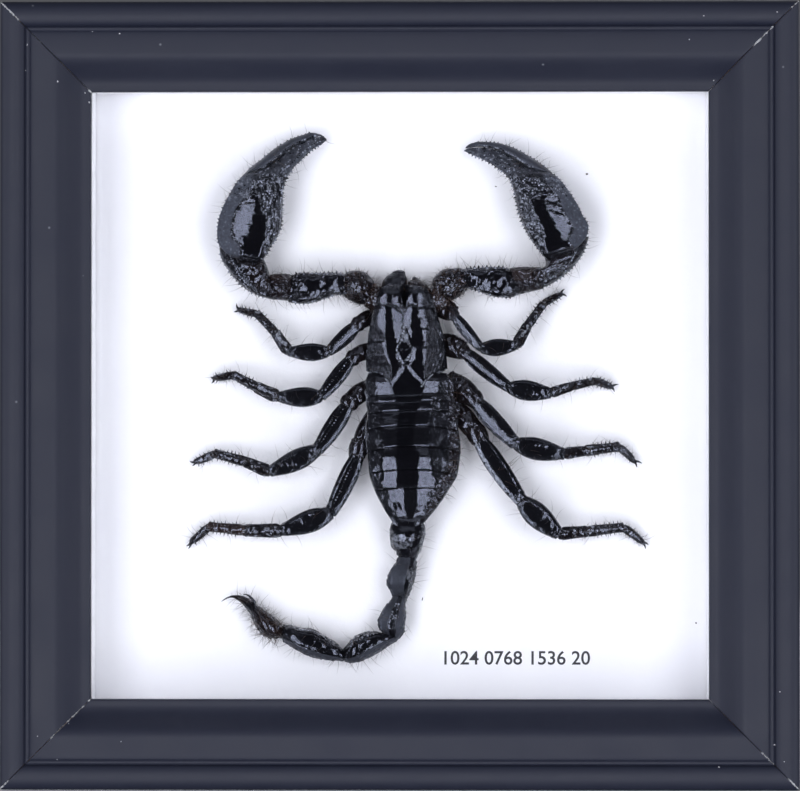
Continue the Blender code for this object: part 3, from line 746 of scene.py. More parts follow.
def moulding_section():
    crest = BEAD["crest"]
    bead_out = quarter((crest, BEAD["drop"]), crest, BEAD["drop"], 180, 90, 20)
    bead_in = quarter((crest, BEAD["inner_drop"]), BEAD["inner_reach"], BEAD["inner_drop"], 90, 3, 16)
    centre = ((FILLET["start"] + FILLET["end"]) / 2, FILLET["depth"] + FILLET["rise"])
    fillet = quarter(centre, FILLET["reach"], FILLET["rise"], 170, 10, 6)
    crest = CUSHION["crest"]
    high = CUSHION["crest_depth"]
    foot = CUSHION["edge_depth"]
    cushion = quarter((crest, foot), crest - CUSHION["start"], foot - high, 178, 90, 20)
    share = np.linspace(0, 1, 26)[1:]
    fall = (1 - np.cos(math.pi * share)) / 2
    slope = np.stack([crest + (COVE["end"] - crest) * share, high + (COVE["depth"] - high) * fall], axis=1)
    crest = LIP["crest"]
    lip = quarter((crest, COVE["depth"] + LIP["rise"]), RAIL_FACE - crest, LIP["rise"], 88, 0, 8)
    inner = RAIL_FACE - RABBET["width"]
    back = np.array([
        (RAIL_FACE, RABBET["shelf"]),
        (inner, RABBET["shelf"]),
        (inner, FRAME_DEPTH),
        (BACK_EDGE["width"], FRAME_DEPTH),
        (BACK_EDGE["ease"], FRAME_DEPTH - BACK_EDGE["ease"]),
        (0.0, FRAME_DEPTH - BACK_EDGE["width"]),
    ])
    return np.concatenate([bead_out, bead_in, fillet, cushion, slope, lip, back])


def worn_share(corner, across):
    """How strongly the mitre of a corner is worn at a distance in from the outer corner."""
    share = np.zeros_like(across)
    for start, end, strength in WORN_MITRES[corner]:
        inside = (across >= start) & (across <= end)
        share = np.where(inside, np.maximum(share, strength), share)
    return share


def make_rail(side, length, corners, turn, origin):
    """A mitred rail. Its arris sinks and is worn at both mitres, and its back is bare wood."""
    section = moulding_section()
    inward, depth = section.T
    front = depth < RABBET["shelf"] - NEARLY
    points = []
    worn = []
    for end, corner in zip((-1, 1), corners):
        rows = []
        shares = []
        for step in MITRE_STEPS:
            fade = max(0.0, 1 - step / ARRIS_WIDTH)
            reach = length / 2 - inward - MITRE_GAP - step
            sunk = depth + np.where(front, ARRIS_DROP * fade ** 2, 0.0)
            rows.append(np.stack([end * reach, sunk, inward], axis=1))
            shares.append(worn_share(corner, inward) * front * max(0.0, 1 - step / WEAR_REACH))
        points += rows[::-end]
        worn += shares[::-end]
    rings = len(points)
    sides = len(section)
    points = np.concatenate(points)
    back = depth >= FRAME_DEPTH - 2 * NEARLY
    inner = (inward < RAIL_FACE - RABBET["width"] + NEARLY) & (depth > RABBET["shelf"] - NEARLY)
    raw = (back | inner) & np.roll(back | inner, -1) & (depth > FRAME_DEPTH * 0.2)
    ends = [tuple(range(sides))[::-1], tuple(range((rings - 1) * sides, rings * sides))]
    materials = np.tile(raw.astype(int), rings - 1).tolist() + [1, 1]
    world = np.stack(
        [
            origin[0] + (points[:, 0] * math.cos(turn) + points[:, 2] * math.sin(turn)) * MM,
            FRONT_Y + points[:, 1] * MM,
            origin[1] + (-points[:, 0] * math.sin(turn) + points[:, 2] * math.cos(turn)) * MM,
        ],
        axis=1,
    )
    wood = UPRIGHT_WOOD if side in ("left", "right") else LEVEL_WOOD
    faces = grid_faces(rings, sides) + ends
    paints = {"arris": np.concatenate(worn)}
    name = f"moulding_{side}"
    rail = add_mesh(name, world, faces, [MOULDING, wood], paints, materials, uneven=UNEVEN_ANGLE)
    face_outwards(rail)
    finish_piece(rail, f"rail_{side}")


def face_outwards(piece):
    """Turns a closed mesh right side out."""
    shape = bmesh.new()
    shape.from_mesh(piece.data)
    bmesh.ops.recalc_face_normals(shape, faces=shape.faces)
    shape.to_mesh(piece.data)
    shape.free()


def make_rails():
    half_width = FRAME_WIDTH / 2 * MM
    half_height = FRAME_HEIGHT / 2 * MM
    corners = [("bottom", "left"), ("bottom", "right"), ("top", "right"), ("top", "left")]
    rails = [
        ("bottom", FRAME_WIDTH, 0, 1, 0.0, (0.0, MIDDLE_Z - half_height)),
        ("top", FRAME_WIDTH, 2, 3, math.pi, (0.0, MIDDLE_Z + half_height)),
        ("left", FRAME_HEIGHT, 3, 0, math.pi / 2, (-half_width, MIDDLE_Z)),
        ("right", FRAME_HEIGHT, 1, 2, -math.pi / 2, (half_width, MIDDLE_Z)),
    ]
    for side, length, first, last, turn, origin in rails:
        make_rail(side, length, (corners[first], corners[last]), turn, origin)


# Dust specks on the rails, across and up from the middle of the frame
RAIL_SPECKS = [
    (-58.4, 69.2), (-53.2, 68.8), (-71.1, 61.8), (-70.8, 66.7), (-65, 59.7), (-60.1, 57.8), (-59.3, 56),
    (57.8, 71.9), (71.7, 72.6), (59.9, 60), (55.1, 67.5), (-68.7, -64.8), (-65, -69.2), (-62.9, -62.5),
    (-52.8, -65.8), (71.1, -66.3), (60.6, -70.5), (72.1, -56.2), (72.9, -69.4),
]


def speck_places():
    """Where the specks lie on the moulding's own section."""
    section = moulding_section()
    front = section[: np.argmax(section[:, 0] >= RAIL_FACE - 0.02)]
    places = []
    for across, up in RAIL_SPECKS:
        inward = min(FRAME_WIDTH / 2 - abs(across), FRAME_HEIGHT / 2 - abs(up))
        depth = np.interp(inward, front[:, 0], front[:, 1])
        places.append((across * MM, FRONT_Y + depth * MM, MIDDLE_Z + up * MM))
    return places


# Case

def evaluated_mesh(item):
    """A plain mesh of what an object makes."""
    bpy.context.view_layer.update()
    return bpy.data.meshes.new_from_object(item.evaluated_get(bpy.context.evaluated_depsgraph_get()))


def finish_case():
    finish_node("glass_pane", GLASS)
    finish_node("mount_board", WHITE_BOARD)
    finish_node("back_panel", HARDBOARD)
    for side in ("top", "bottom", "left", "right"):
        finish_node(f"liner_{side}", WHITE_LINER)
        finish_node(f"tab_{side}", ZINC)
    for node in ("hanger", "hanger_nail_left", "hanger_nail_right"):
        finish_node(node, ZINC)


NUMBER = "1024 0768 1536 20"
NUMBER_MIDDLE = 22.5
NUMBER_LINE = -51.9
NUMBER_HEIGHT = 2.7
INK_THICKNESS = 0.02
INK_LIFT = 0.002
INK_SPREAD = 0.012


def make_number():
    """A plain number printed on the board, where such a mount has its label."""
    curve = bpy.data.curves.new("label", "FONT")
    curve.body = NUMBER
    curve.size = 1.0
    curve.extrude = INK_THICKNESS / 2
    curve.offset = INK_SPREAD
    text = add_object("label", curve)
    mesh = evaluated_mesh(text)
    bpy.data.objects.remove(text)
    places = np.array([vertex.co for vertex in mesh.vertices])
    low = places.min(axis=0)
    high = places.max(axis=0)
    scale = NUMBER_HEIGHT / (high[1] - low[1])
    across = NUMBER_MIDDLE + (places[:, 0] - (low[0] + high[0]) / 2) * scale
    up = NUMBER_LINE + (places[:, 1] - low[1]) * scale
    height = np.where(places[:, 2] > 0, INK_THICKNESS, INK_LIFT)
    world = to_world(np.stack([across, up, height], axis=1))
    faces = [tuple(face.vertices) for face in mesh.polygons]
    number = add_mesh("printed_number", world, faces, [INK], smooth=False)
    face_outwards(number)
    finish_piece(number)


# Stage

CAMERA_PLACE = (0.017, FRONT_Y - 0.9, MIDDLE_Z - 0.011)
CAMERA_AIM = (0.00019, FRONT_Y, MIDDLE_Z - 0.0001)
CAMERA_LENS = 213.6
NEAR_CLIP = 0.01

# The pale floor, and a dark card behind the camera that the pane and the lacquer reflect, in metres
FLOOR_REACH = 3.0
CARD_BEHIND = 0.15
CARD_HALF_WIDTH = 0.2
CARD_LOW = -0.3
CARD_HIGH = 0.9

WORLD_STRENGTH = 0.10
LAMP_DISTANCE = 1.0
# Bearing from the front and rise in degrees, size across and up in metres, power in watts
SOFTBOXES = {
    "softbox_left": (-24, -11.5, (0.42, 1.0), 9.8),
    "softbox_right": (24, -11.5, (0.42, 1.0), 9.3),
    "softbox_low": (0, -53, (0.8, 0.24), 0.8),
    "softbox_high": (0, 48, (1.2, 0.5), 1.6),
    "side_left": (-80, 0, (0.5, 0.9), 4.6),
    "side_right": (80, 0, (0.5, 0.9), 4.6),
    "back_fill": (155, 30, (0.8, 0.8), 3.0),
}
LAMP_COLOUR = (0.90, 0.92, 1.0)
LIGHT_BOUNCES = {"max_bounces": 8, "diffuse_bounces": 3, "glossy_bounces": 4, "transmission_bounces": 6}


def look_at(item, place, aim):
    item.location = place
    item.rotation_euler = (Vector(aim) - Vector(place)).to_track_quat("-Z", "Y").to_euler()


def add_softbox(name, bearing, rise, size, power):
    """A softbox at a bearing from the front and a rise, turned to the middle of the frame."""
    turn = math.radians(bearing)
    lift = math.radians(rise)
    place = (
        LAMP_DISTANCE * math.cos(lift) * math.sin(turn),
        FRONT_Y - LAMP_DISTANCE * math.cos(lift) * math.cos(turn),
        MIDDLE_Z + LAMP_DISTANCE * math.sin(lift),
    )
    lamp = bpy.data.lights.new(name, "AREA")
    lamp.shape = "RECTANGLE"
    lamp.size, lamp.size_y = size
    lamp.energy = power
    lamp.color = LAMP_COLOUR
    item = add_object(name, lamp)
    look_at(item, place, (0.0, 0.0, MIDDLE_Z))
    item.visible_camera = False


def flat_sheet(name, corners, material, *hidden):
    """A sheet of the stage, kept out of the kinds of ray that are named as hidden."""
    sheet = add_mesh(name, corners, [(0, 1, 2, 3)], [material], smooth=False)
    for kind in hidden:
        setattr(sheet, f"visible_{kind}", False)


def make_stage():
    floor_paint, tree, shader = new_material("pale_floor", Roughness=0.7)
    speck = noise(tree, object_place(tree), 0.02, 3.0)
    finish_shader(tree, shader, blend_colours(tree, speck, (0.74, 0.74, 0.75), (0.78, 0.78, 0.79)))
    far = FLOOR_REACH
    corners = [(-far, -far, 0), (far, -far, 0), (far, far, 0), (-far, far, 0)]
    flat_sheet("floor", corners, floor_paint, "glossy", "shadow")

    dark_paint = new_material("dark_cloth", Roughness=0.9, Base_Color=(0.01, 0.01, 0.012))[0]
    y = CAMERA_PLACE[1] - CARD_BEHIND
    half = CARD_HALF_WIDTH
    corners = [(-half, y, CARD_LOW), (half, y, CARD_LOW), (half, y, CARD_HIGH), (-half, y, CARD_HIGH)]
    flat_sheet("dark_card", corners, dark_paint, "camera", "diffuse", "shadow")

    world = bpy.data.worlds.new("studio")
    world.use_nodes = True
    background = world.node_tree.nodes["Background"].inputs
    give(world.node_tree, LAMP_COLOUR, background["Color"])
    give(world.node_tree, WORLD_STRENGTH, background["Strength"])
    scene = bpy.context.scene
    scene.world = world
    for name, lamp in SOFTBOXES.items():
        add_softbox(name, *lamp)

    lens = bpy.data.cameras.new("camera")
    lens.lens = CAMERA_LENS
    lens.clip_start = NEAR_CLIP
    scene.camera = add_object("camera", lens)
    look_at(scene.camera, CAMERA_PLACE, CAMERA_AIM)
    scene.view_settings.view_transform = "Standard"
    for kind, count in LIGHT_BOUNCES.items():
        setattr(scene.cycles, kind, count)


# Outlines of the specimen. Each cut is its left and right edge, then its underside and top.

CARAPACE_CUTS = [
    (-4.2, 20.7, 5.8, 20.7, 3, 9.3),
    (-4.5, 19.2, 6.1, 19.2, 2.2, 10.2),
    (-5.1, 17, 6.8, 17, 1.9, 10.4),
    (-5.7, 14.3, 7.6, 14.3, 1.7, 10.4),
    (-6.2, 11.2, 8.3, 11.2, 1.6, 10.4),
    (-6.5, 7.9, 8.8, 7.9, 1.5, 10.4),
    (-6.6, 5.8, 9, 5.8, 1.5, 10.4),
    (-6.5, 3.7, 9, 3.7, 1.6, 10.3),
]
ABDOMEN_CUTS = [
    (-6.2, 4.3, 9, 4.3, 2.2, 8.7),
    (-6.5, 3.6, 9.5, 3.7, 1.6, 9.15),
    (-6.8, 2.9, 10.0, 3.2, 1.5, 9.45),
    (-6.8, 1.8, 10.3, 2.2, 1.3, 9.56),
    (-6.6, 0.2, 10.4, 0.8, 1.2, 9.7),
    (-6.3, -2.7, 10.8, -2.3, 1.1, 9.95),
    (-6.6, -5.8, 11.2, -5.8, 1, 10.2),
    (-6.3, -8.9, 11.6, -8.9, 1, 10.4),
    (-6.2, -11.6, 11.3, -12, 1, 10.5),
    (-5.9, -14.5, 10.8, -14.7, 1, 10.4),
    (-5, -17.6, 9.4, -17.4, 1.1, 9.9),
    (-4, -19.9, 8.1, -19.7, 1.3, 9.4),
    (-2.8, -22.2, 6.3, -22.2, 1.6, 8.8),
    (-1.6, -24, 4.8, -24, 2, 8.2),
    (-0.8, -25.1, 4, -25.1, 2.8, 7.5),
]
JAW_LEFT_CUTS = [
    (-3.7, 19.9, 1, 19.5, 3, 7.6),
    (-3.5, 21.7, 1.3, 21.5, 3.2, 7.7),
    (-2.8, 22.9, 1.3, 22.6, 3.6, 7.2),
    (-1.6, 23.7, 0.9, 23.5, 4, 6.4),
]
JAW_RIGHT_CUTS = [
    (1.3, 19.2, 5.9, 19, 3, 7.3),
    (1.3, 20.9, 5.6, 20.5, 3.2, 7.2),
    (1.7, 22.1, 4.8, 21.6, 3.6, 6.4),
    (2.3, 22.4, 3.8, 22.2, 4, 5.6),
]
TAIL_1_CUTS = [
    (-1.4, -24, 4.2, -24, 3, 7),
    (-1.9, -25.1, 4.7, -25.1, 2.5, 8),
    (-2, -26.5, 4.8, -26.5, 2.3, 8.6),
    (-1.9, -27.8, 4.5, -27.8, 2.2, 8.5),
    (-1.6, -29.1, 4.1, -29.2, 2.3, 7.8),
    (-0.8, -30.1, 3.7, -30.3, 2.7, 6.8),
    (-0.4, -31.1, 3.1, -31.3, 3, 6),
]
TAIL_2_CUTS = [
    (-0.4, -30.9, 3, -31.1, 3, 6),
    (-0.9, -32.1, 3.1, -32.3, 2.5, 6.6),
    (-1.8, -33.4, 3, -33.6, 2, 7.3),
    (-2.5, -35, 2.7, -35.2, 1.8, 7.7),
    (-2.6, -36.3, 2.3, -36.5, 1.8, 7.5),
    (-2, -37.5, 1.9, -37.8, 2.2, 6.7),
    (-1.5, -38.5, 1.4, -38.8, 2.7, 5.8),
]
TAIL_3_CUTS = [
    (-1.4, -38.5, 1.2, -39, 2.8, 5.7),
    (-2, -39.5, 1, -40.1, 2.2, 6.3),
    (-3.1, -40.7, 1, -41.4, 1.8, 6.9),
    (-3.8, -42, 1, -42.7, 1.6, 7.2),
    (-4.3, -43.5, 0.8, -44.2, 1.5, 7.1),
    (-4, -44.8, 0.6, -45.6, 1.7, 6.7),
    (-3.2, -45.8, -0.1, -46.6, 2.2, 5.9),
]
TAIL_4_CUTS = [
    (-3, -45.8, -0.3, -46.7, 2, 5.9),
    (-4.3, -45.5, -0.8, -47.2, 1.5, 6.8),
    (-6.2, -45.4, -2.4, -48.2, 1.2, 7.1),
    (-7.9, -45.9, -4.3, -49.5, 1, 7.15),
    (-9, -46.5, -6.4, -50.6, 1, 7.1),
    (-10.1, -47.7, -8.8, -51.4, 1.3, 6.8),
    (-11, -48.6, -10.5, -51.3, 1.8, 5.8),
]
TAIL_5_CUTS = [
    (-11.3, -48.8, -11, -51, 1.8, 5.8),
    (-12.1, -47.8, -12.3, -51, 1.4, 6.4),
    (-14.2, -46.5, -14.6, -50.8, 1, 6.7),
    (-16.8, -45, -17.1, -50.3, 0.9, 6.8),
    (-19.2, -44.7, -19.4, -49.3, 0.9, 6.75),
    (-20.9, -44.2, -21.1, -48.3, 1.1, 6.5),
    (-22.4, -44.1, -22.5, -47.4, 1.5, 5.7),
]
BULB_CUTS = [
    (-22.8, -44.2, -22.9, -46.7, 1.6, 4.7),
    (-24, -43, -24.2, -46.8, 1.1, 5.6),
    (-25.5, -41.9, -26.1, -46.4, 0.9, 6),
    (-26.9, -40.9, -27.8, -44.7, 1, 5.5),
    (-28, -40, -29, -42.1, 1.3, 4.5),
    (-29.1, -39.3, -30.2, -40.4, 1.6, 3.6),
]
STING_CUTS = [
    (-28.7, -39.5, -29.7, -40.9, 1.4, 3.9),
    (-30, -38.7, -31.2, -39.6, 1.7, 3.1),
    (-31.4, -38.4, -32.3, -39, 1.7, 2.7),
    (-32.7, -38.5, -33.1, -39, 1.5, 2.4),
    (-33.8, -39, -34, -39.4, 1.3, 2),
    (-34.5, -39.5, -34.6, -39.7, 1.2, 1.5),
]
LEFT_FEMUR_CUTS = [
    (-21.5, 18, -21.1, 23.2, 3, 7.2),
    (-19.4, 17.7, -19.4, 23.7, 2.3, 8.3),
    (-16.9, 17.9, -16.9, 23.7, 2.2, 8.6),
    (-14.2, 18.8, -14.2, 23.7, 2.4, 8.4),
    (-11.9, 19.4, -11.9, 23.7, 2.7, 8.1),
    (-10.3, 19.3, -10.3, 23.4, 3, 7.4),
]
LEFT_TROCHANTER_CUTS = [
    (-10.7, 19, -10.3, 23.9, 3, 7.6),
    (-9.1, 18, -8.6, 24.1, 2.6, 8.3),
    (-7.4, 17.6, -6.6, 23.7, 2.6, 8),
    (-5.9, 17.8, -5.1, 22.2, 3, 7),
]
LEFT_COXA_CUTS = [
    (-6.8, 17.2, -5.3, 21.7, 2.8, 7),
    (-5.3, 16.3, -3.9, 21.1, 2.6, 7.3),
    (-3.7, 15.7, -2.6, 20.1, 2.8, 6.8),
]
LEFT_PATELLA_CUTS = [
    (-34.9, 28.6, -26.5, 26.9, 2.8, 8),
    (-34.6, 26.8, -25.8, 25.3, 2.4, 8.8),
    (-33.5, 24.7, -25.2, 23.6, 2.2, 9.1),
    (-31.9, 22.5, -24.7, 21.9, 2.2, 8.9),
    (-29.6, 20.4, -23.9, 20.6, 2.4, 8.3),
    (-27.1, 19.2, -23.1, 19.7, 2.6, 7.6),
    (-24.6, 18.5, -22.3, 19.1, 3, 6.4),
]
LEFT_ELBOW_CUTS = [
    (-25, 18.8, -25.8, 23.2, 3, 7),
    (-23.3, 18.5, -23.8, 23.5, 2.8, 7.6),
    (-21.5, 18.3, -21.7, 23.5, 2.8, 7.8),
    (-20.2, 18.2, -20.2, 23, 3, 7.2),
]
LEFT_HAND_CUTS = [
    (-31.2, 25.9, -27.6, 25.0, 3.4, 9.0),
    (-33.2, 27.3, -26.3, 26.2, 2.8, 10.5),
    (-34.8, 29.0, -25.1, 28.4, 2.2, 10.75),
    (-35.2, 30.9, -23.7, 30.6, 1.7, 10.9),
    (-35.1, 32.9, -22.9, 32.7, 1.5, 11.0),
    (-34.6, 35, -22.7, 35, 1.5, 11.1),
    (-33.7, 37.1, -22.6, 37.2, 1.5, 11),
    (-32.6, 39.1, -22.5, 39.3, 1.6, 10.7),
    (-31.6, 40.8, -22.2, 41, 1.8, 10.2),
    (-30.2, 42.4, -21.5, 42.6, 2, 9.5),
    (-27.9, 43.3, -20.4, 44.2, 2.3, 8.6),
    (-25.8, 44, -19.2, 45.4, 2.6, 7.8),
    (-23.6, 45.6, -18, 46.6, 2.8, 7),
    (-21.4, 47.6, -16.9, 47.6, 2.8, 6.2),
    (-19.2, 48.9, -15.9, 48.2, 2.8, 5.5),
    (-16.9, 49.7, -15, 48.7, 3, 4.9),
    (-15.2, 50.1, -14.3, 49.3, 3.2, 4.2),
]
LEFT_FINGER_CUTS = [
    (-30.7, 42.1, -29.6, 42.4, 3, 7),
    (-29.9, 42.9, -28, 43.1, 2.8, 8),
    (-28.8, 44, -26, 43.8, 2.7, 8.3),
    (-26.5, 45.8, -23.6, 45.5, 2.7, 7.9),
    (-24, 47.8, -21.5, 47.4, 2.8, 7),
    (-21.1, 49.5, -19.2, 48.7, 2.8, 6.1),
    (-18.6, 50.4, -17, 49.6, 2.9, 5.3),
    (-16.9, 50.8, -15.6, 50.1, 3.1, 4.7),
    (-15.5, 50.5, -14.8, 49.9, 3.4, 4.2),
]
RIGHT_FEMUR_CUTS = [
    (23.9, 20.1, 21.4, 24.3, 3, 7.2),
    (21.8, 19.1, 19.9, 24.7, 2.3, 8.3),
    (19.3, 18.9, 17.5, 24.8, 2.2, 8.6),
    (16.6, 19.5, 15.2, 24.7, 2.4, 8.4),
    (14.1, 20.4, 13.1, 24.6, 2.7, 8.1),
    (12.5, 20.7, 11.7, 24.3, 3, 7.4),
]
RIGHT_TROCHANTER_CUTS = [
    (12.7, 20.2, 11.6, 24.6, 3, 7.6),
    (11.3, 19, 9.6, 24.5, 2.6, 8.3),
    (9.4, 18.2, 7.9, 24.1, 2.6, 8),
    (7.7, 18.2, 6.3, 22.6, 3, 7),
]
RIGHT_COXA_CUTS = [
    (9.2, 16.8, 7.5, 21.7, 2.8, 7),
    (7.3, 16.1, 5.9, 20.9, 2.6, 7.3),
    (5.9, 15.5, 4.8, 19.9, 2.8, 6.8),
]
RIGHT_PATELLA_CUTS = [
    (36.3, 30.6, 27.4, 27.3, 2.8, 8),
    (35.7, 28.6, 27.9, 26.1, 2.4, 8.8),
    (34.6, 26.4, 27.9, 25.1, 2.2, 9.1),
    (32.8, 24.3, 27.1, 24.6, 2.2, 8.9),
    (30.5, 22.4, 25.7, 24.4, 2.4, 8.3),
    (28, 21, 24.5, 23.4, 2.6, 7.6),
    (25.9, 20.3, 23.7, 22.2, 3, 6.4),
]
RIGHT_ELBOW_CUTS = [
    (27.2, 20.5, 27.4, 24.7, 3, 7),
    (25.5, 20.1, 24.9, 24.8, 2.8, 7.6),
    (23.7, 19.7, 22.2, 24.7, 2.8, 7.8),
    (22.2, 19.3, 20.4, 24.4, 3, 7.2),
]
RIGHT_HAND_CUTS = [
    (32.4, 27.1, 28.7, 25.8, 3.4, 9.0),
    (34.4, 28.8, 27.5, 26.8, 2.8, 10.5),
    (35.8, 30.6, 26.4, 28.4, 2.2, 10.75),
    (36.1, 32.8, 25, 30.3, 1.7, 10.9),
    (35.2, 34.4, 23.9, 32.3, 1.5, 11.0),
    (34.3, 36.3, 23, 34.6, 1.5, 11.1),
    (33.2, 38.1, 22.4, 36.8, 1.5, 11),
    (32.1, 39.7, 22, 38.8, 1.6, 10.7),
    (31, 41.2, 21.5, 40.6, 1.8, 10.2),
    (29.6, 42.5, 20.6, 42.2, 2, 9.5),
    (27.4, 43.2, 19.7, 43.1, 2.3, 8.6),
    (25.3, 43.5, 18.5, 44, 2.6, 7.8),
    (23.3, 44.7, 17.2, 44.9, 2.8, 7),
    (21.2, 46.1, 15.8, 45.6, 2.8, 6.2),
    (19.1, 47.2, 14.5, 46.2, 2.8, 5.5),
    (16.6, 47.8, 13.4, 46.7, 3, 4.9),
    (13.7, 47.9, 12.3, 47.2, 3.2, 4.2),
]
RIGHT_FINGER_CUTS = [
    (30.1, 42, 28.9, 42.4, 3, 7),
    (29.3, 42.8, 27.2, 43.1, 2.8, 8),
    (28.1, 43.9, 25.3, 43.4, 2.7, 8.3),
    (26.1, 45.3, 23.2, 44.7, 2.7, 7.9),
    (23.5, 46.9, 21.1, 46.1, 2.8, 7),
    (20.4, 48.3, 18.9, 47.3, 2.8, 6.1),
    (17.5, 48.9, 16.6, 47.9, 2.9, 5.3),
    (15.2, 49, 14.6, 48, 3.1, 4.7),
    (13.2, 48.5, 12.6, 47.7, 3.4, 4.2),
]
CARAPACE_FACETS = [
    [(-3.8, 19.8), (-3.8, 17.9), (-3.6, 17.3), (-4, 16.1), (-4.5, 15.2), (-4.3, 13.4), (-3.7, 12.5),
     (-3, 11.7), (-3, 10.5), (-3.6, 10), (-3.3, 8.8), (-3, 7.7), (-2.4, 6.5), (-1.8, 5.7), (-1.8, 0.7)],
    [(-2.5, 19.8), (-2.6, 17.9), (-2.8, 17.3), (-2.8, 15.2), (-2.8, 13.4), (-2.9, 12.5), (-3, 11.7),
     (-2.9, 10.5), (-2.8, 10), (-2.6, 8.8), (-2.3, 7.7), (-1.9, 6.5), (-1.7, 5.7), (-1.7, 0.7)],
    [(-1.6, 19.8), (-1.5, 17.9), (-1.5, 15.2), (-1.3, 13.4), (-1, 11.7), (-0.8, 10.5), (-0.4, 9.8),
     (-0.5, 8.8), (-0.8, 8.4), (-0.8, 7.7), (-0.4, 6.5), (0.1, 5.7), (-0.1, 5.2), (-0.8, 4), (-1.5, 3),
     (-1.7, 2.1), (-1.7, 0.7)],
    [(-0.5, 19.8), (-0.3, 17.9), (-0.1, 17.3), (0.3, 16.5), (0.4, 13.4), (0.1, 11.7), (-0.2, 10.5),
     (-0.4, 10), (-0.5, 8.8), (-0.5, 8.4), (-0.1, 7.7), (0.4, 6.5), (0.7, 5.7), (0.7, 5.2), (0.1, 4),
     (-0.6, 3), (-0.9, 2.1), (-1, 0.7)],
    [(1.2, 19.8), (1.3, 17.9), (1, 17.3), (0.5, 16.5), (0.6, 13.4), (0.9, 12.5), (1.9, 11.7), (2.3, 10.5),
     (2.4, 9.6), (2.3, 9), (1.8, 7.7), (1.4, 6.5), (1, 5.7), (1.4, 5.2), (2.4, 4), (3.4, 3), (3.8, 2.1),
     (4, 0.7)],
    [(2.3, 19.8), (2.3, 17.9), (2.2, 17.3), (2.2, 15.2), (2, 13.4), (2.2, 12.5), (2.3, 11.7), (2.3, 10.5),
     (2.4, 9.6), (3.1, 9), (3.1, 7.7), (2.5, 6.5), (1.8, 5.7), (2.1, 5.2), (3.3, 4), (4.2, 3), (4.6, 2.1),
     (4.8, 0.7)],
    [(3.4, 19.8), (3.4, 17.9), (3.6, 15.2), (4, 14), (4.2, 12.7), (4.5, 10.5), (4.4, 8.8), (4.4, 6.5),
     (4.6, 5.7), (4.7, 5), (5.1, 0.7)],
    [(4.4, 19.8), (4.4, 17.9), (4.5, 16.7), (4.8, 15.7), (5.3, 14), (5, 12.7), (5.2, 10.5), (5.1, 8.8),
     (5, 6.5), (4.8, 5.7), (4.7, 5), (5.2, 0.7)],
]
ABDOMEN_FACETS = [
    [(-4.7, 3), (-4.3, 0.2), (-3.8, -1.4), (-3.3, -3.1), (-3.1, -6.6), (-3.1, -9.7), (-3.3, -11.8),
     (-3.2, -13.9), (-3.1, -14.9), (-2.9, -17.6), (-2.3, -18.1), (-1.8, -20.1), (-0.8, -22.6), (-0.1, -23.9)],
    [(-1.4, 3), (-1.4, 1.5), (-1.2, 0.2), (-0.6, -1.9), (-0.2, -3.1), (-0.6, -6.6), (-0.5, -9.7),
     (-0.8, -11.8), (-0.5, -13.9), (-0.6, -14.9), (-0.7, -17.6), (0.8, -17.9), (0.8, -21), (1.1, -22.6),
     (1.5, -23.9)],
    [(4.8, 3), (4.6, 1.5), (4.3, 0.2), (3.6, -1.9), (3.1, -3.1), (2.6, -6.6), (2.4, -9.7), (3.6, -11.8),
     (3.2, -13.9), (3.6, -14.9), (3.3, -17.6), (3.2, -17.9), (3.4, -21), (2.8, -22.6), (2.3, -23.9)],
    [(7.5, 3), (7.3, 1.1), (6.5, 0.2), (6.1, -1.4), (6, -3.1), (5.3, -6.6), (5.3, -9.7), (5.7, -11.8),
     (5.9, -13.9), (6.1, -14.9), (6.7, -16.2), (6.5, -17.6), (5.9, -18.1), (5.7, -20.1), (4.8, -22.6),
     (3.8, -23.9)],
]
LEFT_HAND_FACETS = [
    [
        (-28, 43), (-28.7, 38.7), (-29.5, 37.9), (-30.5, 37.3), (-31.4, 35.9), (-32.1, 33.9),
        (-32.4, 31.8), (-32.1, 30.1), (-31, 29.3), (-30.6, 28.8),
    ],
    [
        (-28, 43), (-28.7, 38.7), (-28.7, 37.9), (-27.9, 37.3), (-28, 35.9), (-28.5, 33.9),
        (-29.2, 31.8), (-30.1, 30.1), (-30.6, 29.3), (-30.6, 28.8),
    ],
    [
        (-27.2, 43), (-27.5, 40.4), (-27, 37.4), (-26.4, 35.9), (-25.8, 33.9), (-25.5, 31.8),
        (-25.6, 30.1), (-26, 28.8), (-26.7, 26.8),
    ],
]
RIGHT_HAND_FACETS = [
    [
        (22.6, 43.1), (23.7, 40.6), (24.2, 38.9), (24.9, 37.3), (25.7, 35.6), (26.5, 34), (27.2, 32.3),
        (27.6, 30.6), (27.7, 28.6), (27.4, 26.5),
    ],
    [
        (26.7, 43.1), (28.5, 39.6), (28.4, 38.7), (27.8, 37.3), (28.3, 35.6), (29.4, 34), (30.2, 32.3),
        (31, 31), (31.9, 29.8), (33, 28.6),
    ],
    [
        (26.8, 43.1), (28.6, 39.6), (29.9, 38.7), (30.6, 37.3), (31.1, 35.6), (32.1, 34), (33.2, 32.3),
        (32.9, 31), (32.1, 29.8), (33, 28.6),
    ],
]
EYE_LENS = [
    (5.8, 0.1), (6.2, 0.3), (6.9, 0.72), (7.7, 1.12), (8.8, 1.44), (9.6, 1.15), (10.2, 0.8), (10.9, 0.55),
    (12.0, 0.35), (13.3, 0.1),
]
EYE_LINE = 0.81
EYES = [(0.4, 8.9), (1.2, 8.9)]
LEFT_FLANK_LINE = [
    (-6.6, 4.6), (-7.1, 3), (-7, 1.5), (-6.4, 0), (-6.5, -2.7), (-6.6, -5.6), (-6.4, -8.5),
    (-6.3, -10.8),
]
